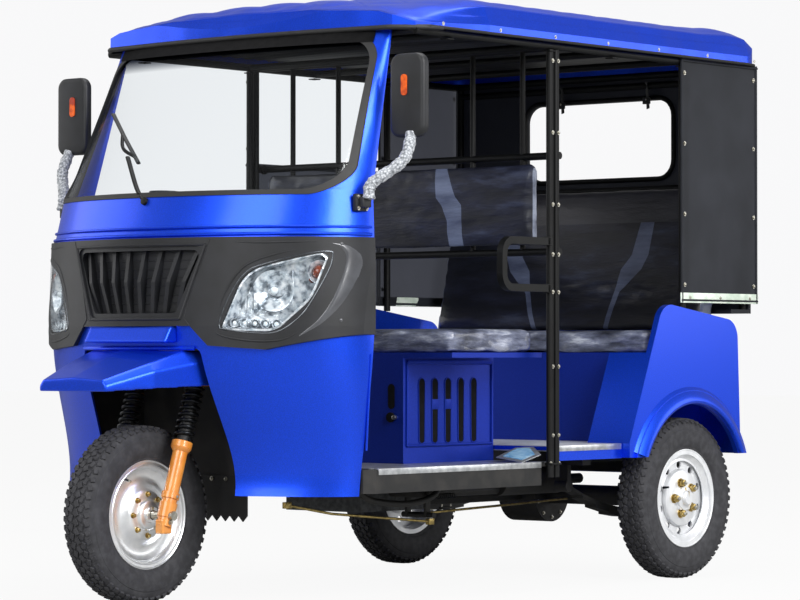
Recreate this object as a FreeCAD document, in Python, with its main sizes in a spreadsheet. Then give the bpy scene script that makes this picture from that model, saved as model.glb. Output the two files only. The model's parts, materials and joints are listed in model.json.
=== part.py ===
"""Auto rickshaw: a three-wheeled passenger tricycle with a steel cab, a soft
curtain at each rear side and one steered front wheel.

The frame: +Z is up, the vehicle's nose points to -Y and its left side to +X.
The origin lies on the ground under the middle of the vehicle's box.
Lengths are millimetres. Every size is a cell of the sheet and every feature
is bound to those cells, so a changed cell changes the pieces that follow it.
"""
import FreeCAD, Part
import math
import os
import Sketcher

doc = FreeCAD.newDocument("auto_rickshaw")

# Driving sizes. A name ending in _y is a distance behind the front axle and
# one ending in _z a height over the ground.
SIZES = {
    # The whole vehicle
    "front_reach": 275, "rear_reach": 2410, "wheelbase": 1985, "half_track": 601,
    "wheel_radius": 272.5, "tyre_width": 118, "bead_radius": 154, "tyre_wall": 14,
    "shoulder_share": 0.16, "crown_share": 0.6, "tyre_sides": 90, "overrun": 40, "skin": 6,
    "running_gap": 0.3,
    # Cowl: the blue front shell, its black fascia and the mudguard
    "body_half": 640, "door_edge_y": 372, "cowl_depth": 397, "sill_bottom_z": 332,
    "cowl_waist_z": 845, "belt_z": 1112, "belt_crown_z": 1124, "belt_lean": 9, "cowl_wall": 8,
    "cowl_low_z": 636, "cowl_low_half": 628, "cowl_low_depth": 341, "cowl_hold_share": 0.45,
    "cowl_foot_half": 610, "cowl_foot_depth": 275, "cowl_inset": 6,
    "foot_edge_y": 336, "fascia_wall": 12, "fascia_side_z": 820, "fascia_low_z": 774,
    "fascia_mid_z": 786, "fascia_low_x": 450, "fascia_mid_x": 285, "fascia_step_x": 226,
    "arch_foot_x": 292, "arch_mid_x": 268, "arch_top_x": 246, "arch_mid_z": 528,
    "arch_top_z": 780, "arch_round": 25,
    "guard_lip_half": 140, "guard_root_half": 238, "guard_lip_low_z": 648,
    "guard_lip_top_z": 683, "guard_root_y": 92, "guard_root_low_z": 664,
    "guard_root_crease_z": 742, "guard_root_top_z": 800, "guard_root_top_half": 212,
    "guard_crown_z": 844, "guard_step_y": 60, "guard_mid_y": -120, "guard_mid_low_z": 656,
    "guard_mid_crease_z": 708, "guard_mid_top_z": 734, "guard_mid_half": 192,
    "guard_mid_top_half": 172, "guard_mid_crown_z": 752, "guard_lip_crown_z": 690,
    "guard_wall": 6, "guard_lip_top_half": 126,
    # Grille and headlamps, in the front view
    "grille_top_half": 268, "grille_low_half": 184, "grille_top_z": 1086,
    "grille_low_z": 872, "grille_round": 18, "grille_depth": 34, "slat_width": 14,
    "slat_depth": 26, "slat_bar": 12,
    "lamp_gap": 2, "lamp_depth": 90, "lens_wall": 4, "bowl_depth": 46, "bulb_radius": 24,
    "led_radius": 11, "led_height": 12, "lamp_rim": 9,
    # Upper cowl and windscreen
    "belt_half": 634, "belt_depth": 370, "scuttle_z": 1255, "scuttle_y": 385,
    "scuttle_half": 618, "scuttle_depth": 338, "header_y": 528,
    "header_half": 575, "header_depth": 75, "pillar_wall": 28,
    "screen_low_z": 1240, "screen_top_z": 1738, "screen_low_half": 606,
    "screen_top_half": 556, "screen_round": 84, "seal_width": 15, "seal_proud": 3,
    "glass_inset": 8, "glass_wall": 6, "seal_back": 20,
    "dash_low_z": 1186, "dash_top_z": 1226, "dash_rear_y": 196, "dash_half": 520,
    "dash_round": 16, "pod_half": 110, "pod_front_y": 120, "pod_top_z": 1262,
    # Roof
    "roof_half": 685, "roof_edge_z": 1762, "roof_lip_z": 1788, "roof_crown_z": 1902,
    "roof_wall": 8, "visor_y": 444, "visor_corner_x": 604, "visor_corner_y": 492,
    "visor_side_y": 572, "roof_round": 105, "visor_swell_y": 462, "visor_brow_y": 540,
    "roof_rise_y": 870, "roof_level_y": 2070, "roof_hump_y": 2225, "roof_fall_y": 2317,
    "roof_back_y": 2370, "roof_flange": 40,
    # Superstructure tubes
    "post_radius": 12, "post_pitch": 30, "b_post_y": 1222, "c_post_y": 1960,
    "b_foot_z": 365, "rear_post_x": 628, "loop_low_z": 959, "loop_top_z": 1133,
    "loop_front_y": 961, "loop_round": 55, "bow_front_y": 700, "bow_rear_y": 1560,
    "seat_bar_low_z": 1090, "seat_bar_top_z": 1400,
    "upright_inner_x": 293, "upright_outer_x": 500, "upright_radius": 9,
    "rear_bar_low_z": 1345, "rear_bar_top_z": 1714,
    # Chassis and floors
    "rail_inner_x": 300, "rail_width": 46, "rail_height": 60, "chassis_z": 340,
    "kick_front_y": 1230, "kick_rear_y": 1330, "kick_rise": 50, "gusset_y": 225,
    "chassis_rear_y": 2262, "floor_wall": 12, "sill_width": 34, "rear_sill_z": 416,
    "floor_step_y": 1252, "floor_toe_half": 614, "rear_floor_half": 500,
    "engine_front_y": 862, "engine_rear_y": 1180, "engine_half": 160,
    "engine_low_z": 250, "engine_top_z": 640, "neck_half": 38, "neck_depth": 40,
    "neck_top_z": 905,
    # Wheelhouse
    "well_half": 304, "well_top_z": 776, "well_rear_y": 344, "well_wall": 5,
    "flap_width": 298, "flap_drop": 104, "flap_wall": 4,
    # Seats
    "bench_half": 598, "bench_front_y": 789, "bench_rear_y": 1248, "seat_z": 765,
    "cushion_wall": 65, "cushion_round": 24, "box_half": 400, "box_wall": 6, "pan_wall": 16,
    "slot_low_z": 505, "slot_top_z": 655, "slot_width": 20, "slot_pitch": 66,
    "slot_first_y": 880, "driver_pad_low_z": 1104,
    "driver_pad_top_z": 1386, "driver_pad_wall": 44, "soft_gap": 0.3,
    "bench_back_y": 1796, "rear_box_half": 494, "rear_cushion_y": 1776,
    "rear_cushion_rear_y": 2222, "back_low_z": 846, "back_top_z": 1352,
    "back_low_y": 2150, "back_wall": 72, "back_half": 600, "rear_cushion_half": 644,
    # Rear body
    "fender_inner_x": 500, "fender_outer_x": 672, "fender_panel": 22, "fender_wall": 8,
    "fender_foot_y": 1629, "fender_foot_z": 466, "fender_top_y": 1822, "fender_top_z": 932,
    "fender_back_y": 2262,
    "fender_back_z": 872, "fender_tail_y": 2281, "fender_tail_z": 418,
    "fender_round": 70, "arch_y": 1980, "arch_z": 291, "arch_radius": 300,
    "flare_radius": 347, "flare_proud": 10,
    "tail_low_z": 340, "tail_half": 500, "tail_wall": 8,
    "wall_y": 2384, "wall_thick": 14, "wall_low_z": 900,
    "wall_half": 646, "shelf_wall": 14, "window_half": 322, "window_low_z": 1391,
    "window_top_z": 1662, "window_round": 60,
    "curtain_wall": 6, "curtain_front_y": 1930, "curtain_rear_y": 2390,
    "curtain_low_z": 932, "hatch_top_z": 1424,
    "lamp_x": 430, "lamp_z": 780, "lamp_half_width": 46, "lamp_half_height": 62,
    "tail_lamp_depth": 26, "tail_lamp_round": 16,
    # Steering and fork. fork_ sizes run along the steering axis.
    "rake": 18, "fork_offset": 38, "leg_x": 124, "slider_radius": 23, "slider_low": -34,
    "slider_top": 232, "tube_radius": 15, "yoke_low": 432, "yoke_wall": 22,
    "yoke_half": 156, "yoke_front": 34, "yoke_rear": 32, "stem_radius": 14,
    "stem_top": 902, "head_low": 466, "head_top": 690, "head_radius": 27,
    "axle_radius": 8, "axle_nut_radius": 14, "axle_nut_wall": 12,
    "spring_radius": 31, "spring_wire": 4.5, "spring_turns": 9, "spring_steps": 12, "bar_radius": 11,
    "bar_clamp_half": 60, "bar_half": 332, "bar_sweep": 160, "bar_rise_half": 190,
    "grip_radius": 17, "grip_length": 120,
    # Wheels and axles
    "rim_width": 92, "rim_wall": 6, "hub_radius": 34, "hub_half": 46,
    "drum_radius": 78, "drum_half": 34, "disc_inset": 12, "spider_radius": 58,
    "hole_radius": 12, "hole_circle": 112, "hole_count": 10, "front_hub_half": 58,
    "nut_circle": 38, "nut_radius": 9, "nut_height": 14, "nut_count": 5,
    "axle_tube_radius": 34, "rear_stub_radius": 16, "hub_clear": 6, "spacer_radius": 13,
    "diff_radius": 98, "diff_half": 80, "shaft_radius": 22,
    "spring_x": 420, "leaf_width": 50, "leaf_wall": 8,
    "spring_front_y": 1600, "spring_rear_y": 2238, "spring_eye_z": 316,
    "spring_drop": 90, "eye_radius": 20,
    "muffler_radius": 46, "muffler_x": 300, "muffler_front_y": 1390,
    "muffler_rear_y": 1720, "muffler_z": 336, "pipe_radius": 17, "pipe_front_y": 1020,
    "tail_pipe_y": 1850,
    # Mirrors and wiper
    "mirror_x": 723, "mirror_y": 439, "mirror_z": 1541, "mirror_half_width": 62,
    "mirror_half_height": 125, "mirror_half_depth": 17, "mirror_round": 34,
    "arm_radius": 11, "elbow_x": 752, "elbow_y": 399, "elbow_z": 1342,
    "arm_foot_x": 640, "arm_foot_y": 323, "arm_foot_z": 1215, "arm_pad_half": 30,
    "wiper_x": -4, "wiper_y": 0, "wiper_z": 1226, "wiper_slope": 38.5,
    "wiper_boss_radius": 14, "wiper_boss_length": 60, "wiper_arm_length": 200,
    "wiper_arm_width": 9, "wiper_blade_length": 220,
}

sheet = doc.addObject("Spreadsheet::Sheet", "sizes")
for row, (name, number) in enumerate(SIZES.items(), start=1):
    sheet.set(f"A{row}", name)
    sheet.set(f"B{row}", str(number))
    sheet.setAlias(f"B{row}", name)
doc.recompute()


class Size:
    """A number together with the sheet formula that gives it."""

    def __init__(self, value, text=None):
        self.value = float(value)
        self.text = text if text else f"({self.value!r})"

    def _join(self, other, sign, value, flip=False):
        other = size_of(other)
        left, right = (other, self) if flip else (self, other)
        return Size(value(left.value, right.value), f"({left.text} {sign} {right.text})")

    def __add__(self, other):
        return self._join(other, "+", lambda a, b: a + b)

    def __radd__(self, other):
        return self._join(other, "+", lambda a, b: a + b, flip=True)

    def __sub__(self, other):
        return self._join(other, "-", lambda a, b: a - b)

    def __rsub__(self, other):
        return self._join(other, "-", lambda a, b: a - b, flip=True)

    def __mul__(self, other):
        return self._join(other, "*", lambda a, b: a * b)

    def __rmul__(self, other):
        return self._join(other, "*", lambda a, b: a * b, flip=True)

    def __truediv__(self, other):
        return self._join(other, "/", lambda a, b: a / b)

    def __neg__(self):
        return Size(-self.value, f"(-{self.text})")


def size_of(number):
    return number if isinstance(number, Size) else Size(number)


def root(size):
    return Size(math.sqrt(size.value), f"sqrt({size.text})")


def cosine(size):
    return Size(math.cos(math.radians(size.value)), f"cos({size.text} * 1 deg)")


def sine(size):
    return Size(math.sin(math.radians(size.value)), f"sin({size.text} * 1 deg)")


class Sheet:
    """Reads a cell by its name, as a Size."""

    def __getattr__(self, name):
        return Size(sheet.get(name), f"sizes.{name}")


cell = Sheet()
ZERO = Size(0)


def bind(thing, **sizes):
    """Bind properties to formulas; a double underscore stands for a dot."""
    for name, size in sizes.items():
        size = size_of(size)
        path = name.replace("__", ".")
        if "." not in path:
            setattr(thing, path, size.value)
        thing.setExpression(path, size.text)


def place(thing, x=ZERO, y=ZERO, z=ZERO, turn=None):
    """Put a thing at a point, turned by a fixed rotation."""
    if turn:
        thing.Placement = FreeCAD.Placement(FreeCAD.Vector(), turn)
    bind(thing, Placement__Base__x=x, Placement__Base__y=y, Placement__Base__z=z)
    return thing


# The front axle's place along Y puts the origin under the middle of the box.
AXLE_Y = (cell.front_reach - cell.rear_reach) / 2


def behind(distance):
    return AXLE_Y + distance


TURN = {
    "x": FreeCAD.Rotation(FreeCAD.Vector(0, 1, 0), 90),
    "y": FreeCAD.Rotation(FreeCAD.Vector(1, 0, 0), -90),
    "z": FreeCAD.Rotation(),
}
# Each view gives the plane of an outline and the way its prism grows.
VIEW = {
    "front": (FreeCAD.Rotation(FreeCAD.Vector(1, 0, 0), 90), FreeCAD.Vector(0, 1, 0), "y"),
    "side": (FreeCAD.Rotation(FreeCAD.Vector(1, 1, 1), 120), FreeCAD.Vector(1, 0, 0), "x"),
    "top": (FreeCAD.Rotation(), FreeCAD.Vector(0, 0, 1), "z"),
}
ORIGIN_PLANE = {"front": "XZ_Plane", "side": "YZ_Plane", "top": "XY_Plane"}
nodes = []


def node(thing, name):
    """Register a finished sub-part under the name of its file."""
    thing.Label = name
    nodes.append(thing)
    return thing


class Bow:
    """Stands between two corners: the side there is an arc through this point."""

    def __init__(self, u, v):
        self.u = size_of(u)
        self.v = size_of(v)


def pin_point(sketch, geometry, position, u, v):
    """Hold a point of a sketch at a named place."""
    for kind, size in (("DistanceX", u), ("DistanceY", v)):
        number = sketch.addConstraint(
            Sketcher.Constraint(kind, -1, 1, geometry, position, size.value))
        sketch.setExpression(f"Constraints[{number}]", size.text)


def vector(u, v):
    return FreeCAD.Vector(u.value, v.value, 0)


def rounded_ends(corners, index):
    """Where a rounded corner's arc starts and ends, and its centre."""
    before, here, after = (corners[index - 1], corners[index], corners[(index + 1) % len(corners)])
    corner = vector(here[0], here[1])
    to_before = (vector(before[0], before[1]) - corner).normalize()
    to_after = (vector(after[0], after[1]) - corner).normalize()
    half = to_before.getAngle(to_after) / 2
    reach = here[2].value / math.tan(half)
    middle = (to_before + to_after).normalize() * (here[2].value / math.sin(half))
    return corner + to_before * reach, corner + to_after * reach, corner + middle


def draw(sketch, outline):
    """Draw a closed outline. A corner is (u, v) or (u, v, radius)."""
    corners, bows = [], {}
    for item in outline:
        if isinstance(item, Bow):
            bows[len(corners) - 1] = item
        else:
            corners.append(tuple(size_of(number) for number in item))
    count = len(corners)
    ends = [rounded_ends(corners, i) if len(corners[i]) == 3 else
            (vector(*corners[i][:2]), vector(*corners[i][:2]), None) for i in range(count)]
    sides = []
    for i in range(count):
        start, end = ends[i][1], ends[(i + 1) % count][0]
        if i in bows:
            middle = vector(bows[i].u, bows[i].v)
            arc = Part.Arc(start, middle, end)
            side = sketch.addGeometry(arc, False)
            forward = sketch.Geometry[side].StartPoint.distanceToPoint(start) < \
                sketch.Geometry[side].EndPoint.distanceToPoint(start)
            point = sketch.addGeometry(Part.Point(middle), True)
            pin_point(sketch, point, 1, bows[i].u, bows[i].v)
            sketch.addConstraint(Sketcher.Constraint("PointOnObject", point, 1, side))
            sides.append((side, 1 if forward else 2, 2 if forward else 1))
        else:
            sides.append((sketch.addGeometry(Part.LineSegment(start, end), False), 1, 2))
    for i in range(count):
        inward, outward = sides[i - 1], sides[i]
        if len(corners[i]) == 2:
            sketch.addConstraint(Sketcher.Constraint(
                "Coincident", inward[0], inward[2], outward[0], outward[1]))
            pin_point(sketch, outward[0], outward[1], corners[i][0], corners[i][1])
            continue
        start, end, centre = ends[i]
        turn_left = (start - centre).cross(end - centre).z > 0
        first, last = (start, end) if turn_left else (end, start)
        angles = [math.atan2(p.y - centre.y, p.x - centre.x) for p in (first, last)]
        if angles[1] < angles[0]:
            angles[1] += 2 * math.pi
        circle = Part.Circle(centre, FreeCAD.Vector(0, 0, 1), corners[i][2].value)
        arc = sketch.addGeometry(Part.ArcOfCircle(circle, *angles), False)
        heads = (1, 2) if turn_left else (2, 1)
        sketch.addConstraint(Sketcher.Constraint("Tangent", inward[0], inward[2], arc, heads[0]))
        sketch.addConstraint(Sketcher.Constraint("Tangent", arc, heads[1], outward[0], outward[1]))
        number = sketch.addConstraint(Sketcher.Constraint("Radius", arc, corners[i][2].value))
        sketch.setExpression(f"Constraints[{number}]", corners[i][2].text)
        point = sketch.addGeometry(Part.Point(vector(*corners[i][:2])), True)
        pin_point(sketch, point, 1, corners[i][0], corners[i][1])
        for side in (inward[0], outward[0]):
            sketch.addConstraint(Sketcher.Constraint("PointOnObject", point, 1, side))


def draw_circle(sketch, u, v, radius):
    u, v, radius = size_of(u), size_of(v), size_of(radius)
    circle = sketch.addGeometry(
        Part.Circle(vector(u, v), FreeCAD.Vector(0, 0, 1), radius.value), False)
    pin_point(sketch, circle, 3, u, v)
    number = sketch.addConstraint(Sketcher.Constraint("Radius", circle, radius.value))
    sketch.setExpression(f"Constraints[{number}]", radius.text)


class Round:
    """A circle among a sketch's outlines."""

    def __init__(self, u, v, radius):
        self.sizes = (u, v, radius)


def fill_sketch(sketch, outlines):
    for outline in outlines:
        if isinstance(outline, Round):
            draw_circle(sketch, *outline.sizes)
        else:
            draw(sketch, outline)


class Body:
    """A PartDesign body with the features that this vehicle's pieces need."""

    def __init__(self, name, helper=False):
        self.name = name
        self.body = doc.addObject("PartDesign::Body", name)
        self.body.AllowCompound = True
        self.planes = {f.Role: f for f in self.body.Origin.OriginFeatures}
        if not helper:
            node(self.body, name)

    def sketch(self, view, level, *outlines, centre=None):
        """A sketch on an origin plane, moved to a level along its normal."""
        sketch = self.body.newObject("Sketcher::SketchObject", f"{self.name}_sketch")
        sketch.AttachmentSupport = [(self.planes[ORIGIN_PLANE[view]], "")]
        sketch.MapMode = "FlatFace"
        bind(sketch, AttachmentOffset__Base__z=-size_of(level) if view == "front" else level)
        if centre:
            bind(sketch, AttachmentOffset__Base__x=centre[0], AttachmentOffset__Base__y=centre[1])
        fill_sketch(sketch, outlines)
        return sketch

    def _grow(self, kind, view, low, high, outlines, centre):
        low, high = size_of(low), size_of(high)
        start = high if view == "front" else low
        profile = self.sketch(view, start, *outlines, centre=centre)
        feature = self.body.newObject(kind, f"{self.name}_{kind.split('::')[1].lower()}")
        feature.Profile = profile
        bind(feature, Length=high - low)
        return feature

    def pad(self, view, low, high, *outlines, centre=None):
        return self._grow("PartDesign::Pad", view, low, high, outlines, centre)

    def pocket(self, view, low, high, *outlines, centre=None):
        """A cut that runs from the low level to the high one."""
        feature = self._grow("PartDesign::Pocket", view, low, high, outlines, centre)
        feature.Reversed = True
        return feature

    def revolve(self, profile, axis="H_Axis", kind="Revolution"):
        feature = self.body.newObject(f"PartDesign::{kind}", f"{self.name}_{kind.lower()}")
        feature.Profile = profile
        feature.ReferenceAxis = (profile, [axis])
        feature.Angle = 360
        return feature

    def loft(self, profiles, kind="AdditiveLoft", ruled=False):
        feature = self.body.newObject(f"PartDesign::{kind}", f"{self.name}_{kind.lower()}")
        feature.Profile = profiles[0]
        feature.Sections = profiles[1:]
        feature.Ruled = ruled
        return feature

    def around(self, feature, profile, count, axis="H_Axis"):
        pattern = self.body.newObject("PartDesign::PolarPattern", f"{self.name}_pattern")
        pattern.Originals = [feature]
        pattern.Axis = (profile, [axis])
        pattern.Angle = 360
        pattern.Occurrences = int(count.value)
        pattern.setExpression("Occurrences", count.text)
        self.body.Tip = pattern
        return pattern


def block(name, x, y, z):
    """A plain box between two corners."""
    thing = doc.addObject("Part::Box", name)
    bind(thing, Length=x[1] - x[0], Width=y[1] - y[0], Height=z[1] - z[0])
    return place(thing, x[0], y[0], z[0])


def rod(name, along, start, length, radius):
    """A round bar from a start point along one axis."""
    thing = doc.addObject("Part::Cylinder", name)
    bind(thing, Radius=radius, Height=length)
    return place(thing, *start, turn=TURN[along])


def prism(name, view, low, high, *outlines):
    """An outline in one view, drawn out between two levels."""
    low, high = size_of(low), size_of(high)
    turn, direction, axis = VIEW[view]
    sketch = doc.addObject("Sketcher::SketchObject", f"{name}_outline")
    place(sketch, turn=turn, **{axis: low})
    fill_sketch(sketch, outlines)
    thing = doc.addObject("Part::Extrusion", name)
    thing.Base = sketch
    thing.DirMode = "Custom"
    thing.Dir = direction
    thing.Solid = True
    bind(thing, LengthFwd=high - low)
    return thing


def fuse(name, parts):
    thing = doc.addObject("Part::MultiFuse", name)
    thing.Shapes = parts
    thing.Refine = True
    return thing


def common(name, parts):
    thing = doc.addObject("Part::MultiCommon", name)
    thing.Shapes = parts
    return thing


def cut(name, base, tools):
    thing = doc.addObject("Part::Cut", name)
    thing.Base = base
    thing.Tool = tools[0] if len(tools) == 1 else fuse(f"{name}_tools", tools)
    return thing


def mirrored(name, source):
    thing = doc.addObject("Part::Mirroring", name)
    thing.Source = source
    thing.Normal = FreeCAD.Vector(1, 0, 0)
    return thing


def pair(name, source):
    """The left piece and its mirror image as one node of two solids."""
    thing = doc.addObject("Part::Compound", name)
    thing.Links = [source, mirrored(f"{name}_right", source)]
    return thing


def rectangle(u0, u1, v0, v1, radius=None):
    corner = () if radius is None else (radius,)
    return [(u0, v0) + corner, (u1, v0) + corner, (u1, v1) + corner, (u0, v1) + corner]


def ellipse_loft(name, stations, inset, ruled=False):
    """A column of ellipses. A station is (z, centre behind the axle, half width, depth)."""
    sections = []
    for number, (z, centre, half, depth) in enumerate(stations):
        ring = doc.addObject("Part::Ellipse", f"{name}_ring{number}")
        bind(ring, MajorRadius=half - inset, MinorRadius=depth - inset)
        sections.append(place(ring, y=behind(centre), z=z))
    thing = doc.addObject("Part::Loft", name)
    thing.Sections = sections
    thing.Solid = True
    thing.Ruled = ruled
    return thing


# Cowl, fascia, grille and headlamps

# Corners of the headlamp in the front view: shares of the body's half width, of
# the belt's height, and of the half width for the rounding.
LAMP_SHARES = {
    "nose": (0.503, 0.748, 0.019), "chin": (0.747, 0.743, 0.094),
    "cheek": (0.875, 0.832, 0.234), "tip": (0.925, 0.962, 0.022),
    "brow": (0.612, 0.908, 0.170),
}
LAMP_MIDDLE_SHARES = (0.72, 0.86)
# The row of small lamps: from the nose to the chin, as shares of that side.
SMALL_LAMP_SHARES = (0.18, 0.36, 0.54, 0.72, 0.90)
# Grille bars across the recess, as shares of its half width.
SLAT_SHARES = (-0.875, -0.625, -0.375, -0.125, 0.125, 0.375, 0.625, 0.875)
# The roof's cross-sections: corners from the side's lip to the crown, as shares of
# the half width and of the rise from the roof's edge to its crown, and the crown's
# own share.
ROOF_SHARES = {
    "lip": ((0.905, 0.07), (0.88, 0.10), (0.80, 0.13), (0.44, 0.19)),
    "swell": ((0.915, 0.09), (0.89, 0.20), (0.81, 0.32), (0.44, 0.47)),
    "brow": ((0.955, 0.10), (0.89, 0.29), (0.81, 0.415), (0.44, 0.64)),
    "rise": ((1, 0.186), (0.969, 0.60), (0.882, 0.772), (0.44, 0.93)),
    "level": ((1, 0.187), (0.969, 0.601), (0.882, 0.773), (0.44, 0.931)),
    "hump": ((1, 0.188), (0.969, 0.65), (0.882, 0.851), (0.44, 0.965)),
    "fall": ((1, 0.189), (0.969, 0.62), (0.882, 0.80), (0.44, 0.925)),
    "back": ((1, 0.15), (0.969, 0.42), (0.882, 0.607), (0.44, 0.74)),
    "rear": ((1, 0.12), (0.969, 0.14), (0.882, 0.16), (0.44, 0.19)),
}
ROOF_CROWN_SHARES = {shares: crown for shares, crown in zip(
    ROOF_SHARES.values(), (0.20, 0.50, 0.70, 1, 0.999, 0.998, 0.96, 0.80, 0.20))}
# Points along a leaf spring, from its eye to the axle.
LEAF_SHARES = (1, 0.8, 0.6, 0.4, 0.2, 0)
c = cell
# Places that follow from the pieces they seat on.
RAIL_X = c.body_half + c.post_radius
RAIL_Z = c.roof_edge_z - c.post_radius
RAIL_FRONT = c.header_y + c.post_radius
REAR_POST = c.wall_y - c.wall_thick - c.post_radius
PARTITION = c.b_post_y + c.post_pitch + c.post_radius * 2
CURTAIN_X = RAIL_X + c.post_radius + c.soft_gap
SPRING_SHARE = (c.spring_rear_y - c.wheelbase) / (c.wheelbase - c.spring_front_y)
SPRING_LOW = c.spring_eye_z - c.spring_drop
REAR_EYE_Z = SPRING_LOW + c.spring_drop * SPRING_SHARE * SPRING_SHARE
FENDER_FALL = (c.fender_top_z - c.fender_back_z) / (c.fender_back_y - c.fender_top_y)
FENDER_LEAN = (c.fender_top_y - c.fender_foot_y) / (c.fender_top_z - c.fender_foot_z)
TAIL_LEAN = (c.fender_tail_y - c.fender_back_y) / (c.fender_back_z - c.fender_tail_z)
C_FOOT_Z = c.fender_top_z - FENDER_FALL * (c.c_post_y - c.post_radius - c.fender_top_y)
BACK_REST_RISE = c.rear_bar_low_z - c.back_low_z
BACK_SLOPE = (REAR_POST - c.post_radius * 1.03 - c.soft_gap - c.back_wall - c.back_low_y)
BACK_TOP_Y = c.back_low_y + BACK_SLOPE * (c.back_top_z - c.back_low_z) / BACK_REST_RISE


def cowl_stations():
    waist = (c.body_half - c.cowl_inset, c.cowl_depth - c.cowl_inset)
    belt = (c.body_half - c.cowl_inset * 2, c.cowl_depth - c.cowl_inset * 2)
    # One more station keeps the smooth loft from bulging through the fascia.
    hold_z = c.cowl_waist_z + (c.belt_crown_z - c.cowl_waist_z) * c.cowl_hold_share
    hold = tuple(low + (high - low) * c.cowl_hold_share for low, high in zip(waist, belt))
    return [(c.sill_bottom_z, c.door_edge_y, c.cowl_foot_half, c.cowl_foot_depth),
            (c.cowl_low_z, c.door_edge_y, c.cowl_low_half, c.cowl_low_depth),
            (c.cowl_waist_z, c.door_edge_y) + waist, (hold_z, c.door_edge_y) + hold,
            (c.belt_crown_z, c.door_edge_y) + belt]


def face_column(name, inset, *z_insets):
    """The column whose surface is the fascia's face, moved in by an inset."""
    levels = z_insets or ((c.fascia_low_z - c.overrun, ZERO), (c.cowl_waist_z, ZERO),
                          (c.belt_crown_z, c.belt_lean))
    half = c.body_half + c.fascia_wall - c.cowl_inset
    depth = c.cowl_depth + c.fascia_wall - c.cowl_inset
    stations = [(z, c.door_edge_y, half - more, depth - more) for z, more in levels]
    return ellipse_loft(name, stations, inset, ruled=True)


def face_band(name, outer, inner):
    return cut(name, face_column(f"{name}_face", outer), [face_column(f"{name}_back", inner)])


def lamp_outline(grow):
    """The headlamp in the front view, with its edge moved out from its middle."""
    middle_u = c.body_half * LAMP_MIDDLE_SHARES[0]
    middle_v = c.belt_z * LAMP_MIDDLE_SHARES[1]
    outline = []
    for across, up, rounding in LAMP_SHARES.values():
        u = c.body_half * across
        v = c.belt_z * up
        reach = root((u - middle_u) * (u - middle_u) + (v - middle_v) * (v - middle_v))
        outline.append((u + (u - middle_u) * grow / reach, v + (v - middle_v) * grow / reach,
                        c.body_half * rounding))
    return outline


def lamp_prism(name, grow):
    return prism(name, "front", behind(-c.front_reach), behind(c.door_edge_y), lamp_outline(grow))


def both_lamps(name, grow):
    left = lamp_prism(name, grow)
    return [left, mirrored(f"{name}_mirror", left)]


def grille_outline(inset):
    return [(inset - c.grille_low_half, c.grille_low_z + inset, c.grille_round),
            (c.grille_low_half - inset, c.grille_low_z + inset, c.grille_round),
            (c.grille_top_half - inset, c.grille_top_z - inset, c.grille_round),
            (inset - c.grille_top_half, c.grille_top_z - inset, c.grille_round)]


def grille_prism(name, inset):
    return prism(name, "front", behind(-c.front_reach), behind(c.door_edge_y),
                 grille_outline(inset))


def make_front_cowl():
    """The blue lower shell, open at the back, with the front wheel's opening."""
    outer = ellipse_loft("cowl_outer", cowl_stations(), ZERO)
    inner = ellipse_loft("cowl_inner", cowl_stations(), c.cowl_wall)
    shell = cut("cowl_shell", outer, [inner])
    front = behind(-c.front_reach)
    keep = prism("cowl_keep", "side", -c.body_half, c.body_half, [
        (front, c.sill_bottom_z), (behind(c.foot_edge_y), c.sill_bottom_z),
        (behind(c.door_edge_y), c.fascia_side_z), (behind(c.door_edge_y), c.belt_z),
        (front, c.belt_z)])
    opening = prism("cowl_opening", "front", front, behind(c.well_rear_y), [
        (-c.arch_foot_x, c.sill_bottom_z - c.overrun), (c.arch_foot_x, c.sill_bottom_z - c.overrun),
        (c.arch_mid_x, c.arch_mid_z), (c.arch_top_x, c.arch_top_z, c.arch_round),
        (-c.arch_top_x, c.arch_top_z, c.arch_round), (-c.arch_mid_x, c.arch_mid_z)])
    kept = common("cowl_kept", [shell, keep])
    holes = [opening, grille_prism("cowl_grille_hole", ZERO)]
    node(cut("cowl_pressing", kept, holes + both_lamps("cowl_lamp_hole", ZERO)), "front_cowl")
    return outer, inner


def make_fascia(cowl_outer):
    """The black cladding round the grille recess and the headlamps."""
    front = behind(-c.front_reach)
    outline = prism("fascia_outline", "front", front, behind(c.door_edge_y), [
        (-c.body_half, c.fascia_side_z), (-c.fascia_low_x, c.fascia_low_z),
        (-c.fascia_mid_x, c.fascia_mid_z), (-c.fascia_step_x, c.cowl_waist_z),
        (c.fascia_step_x, c.cowl_waist_z), (c.fascia_mid_x, c.fascia_mid_z),
        (c.fascia_low_x, c.fascia_low_z), (c.body_half, c.fascia_side_z),
        (c.body_half, c.belt_z), (-c.body_half, c.belt_z)])
    blank = common("fascia_blank", [face_column("fascia_face", ZERO), outline])
    holes = [cowl_outer, grille_prism("fascia_grille_hole", ZERO)]
    node(cut("fascia_moulding", blank, holes + both_lamps("fascia_lamp_hole", ZERO)),
         "front_fascia")


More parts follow.
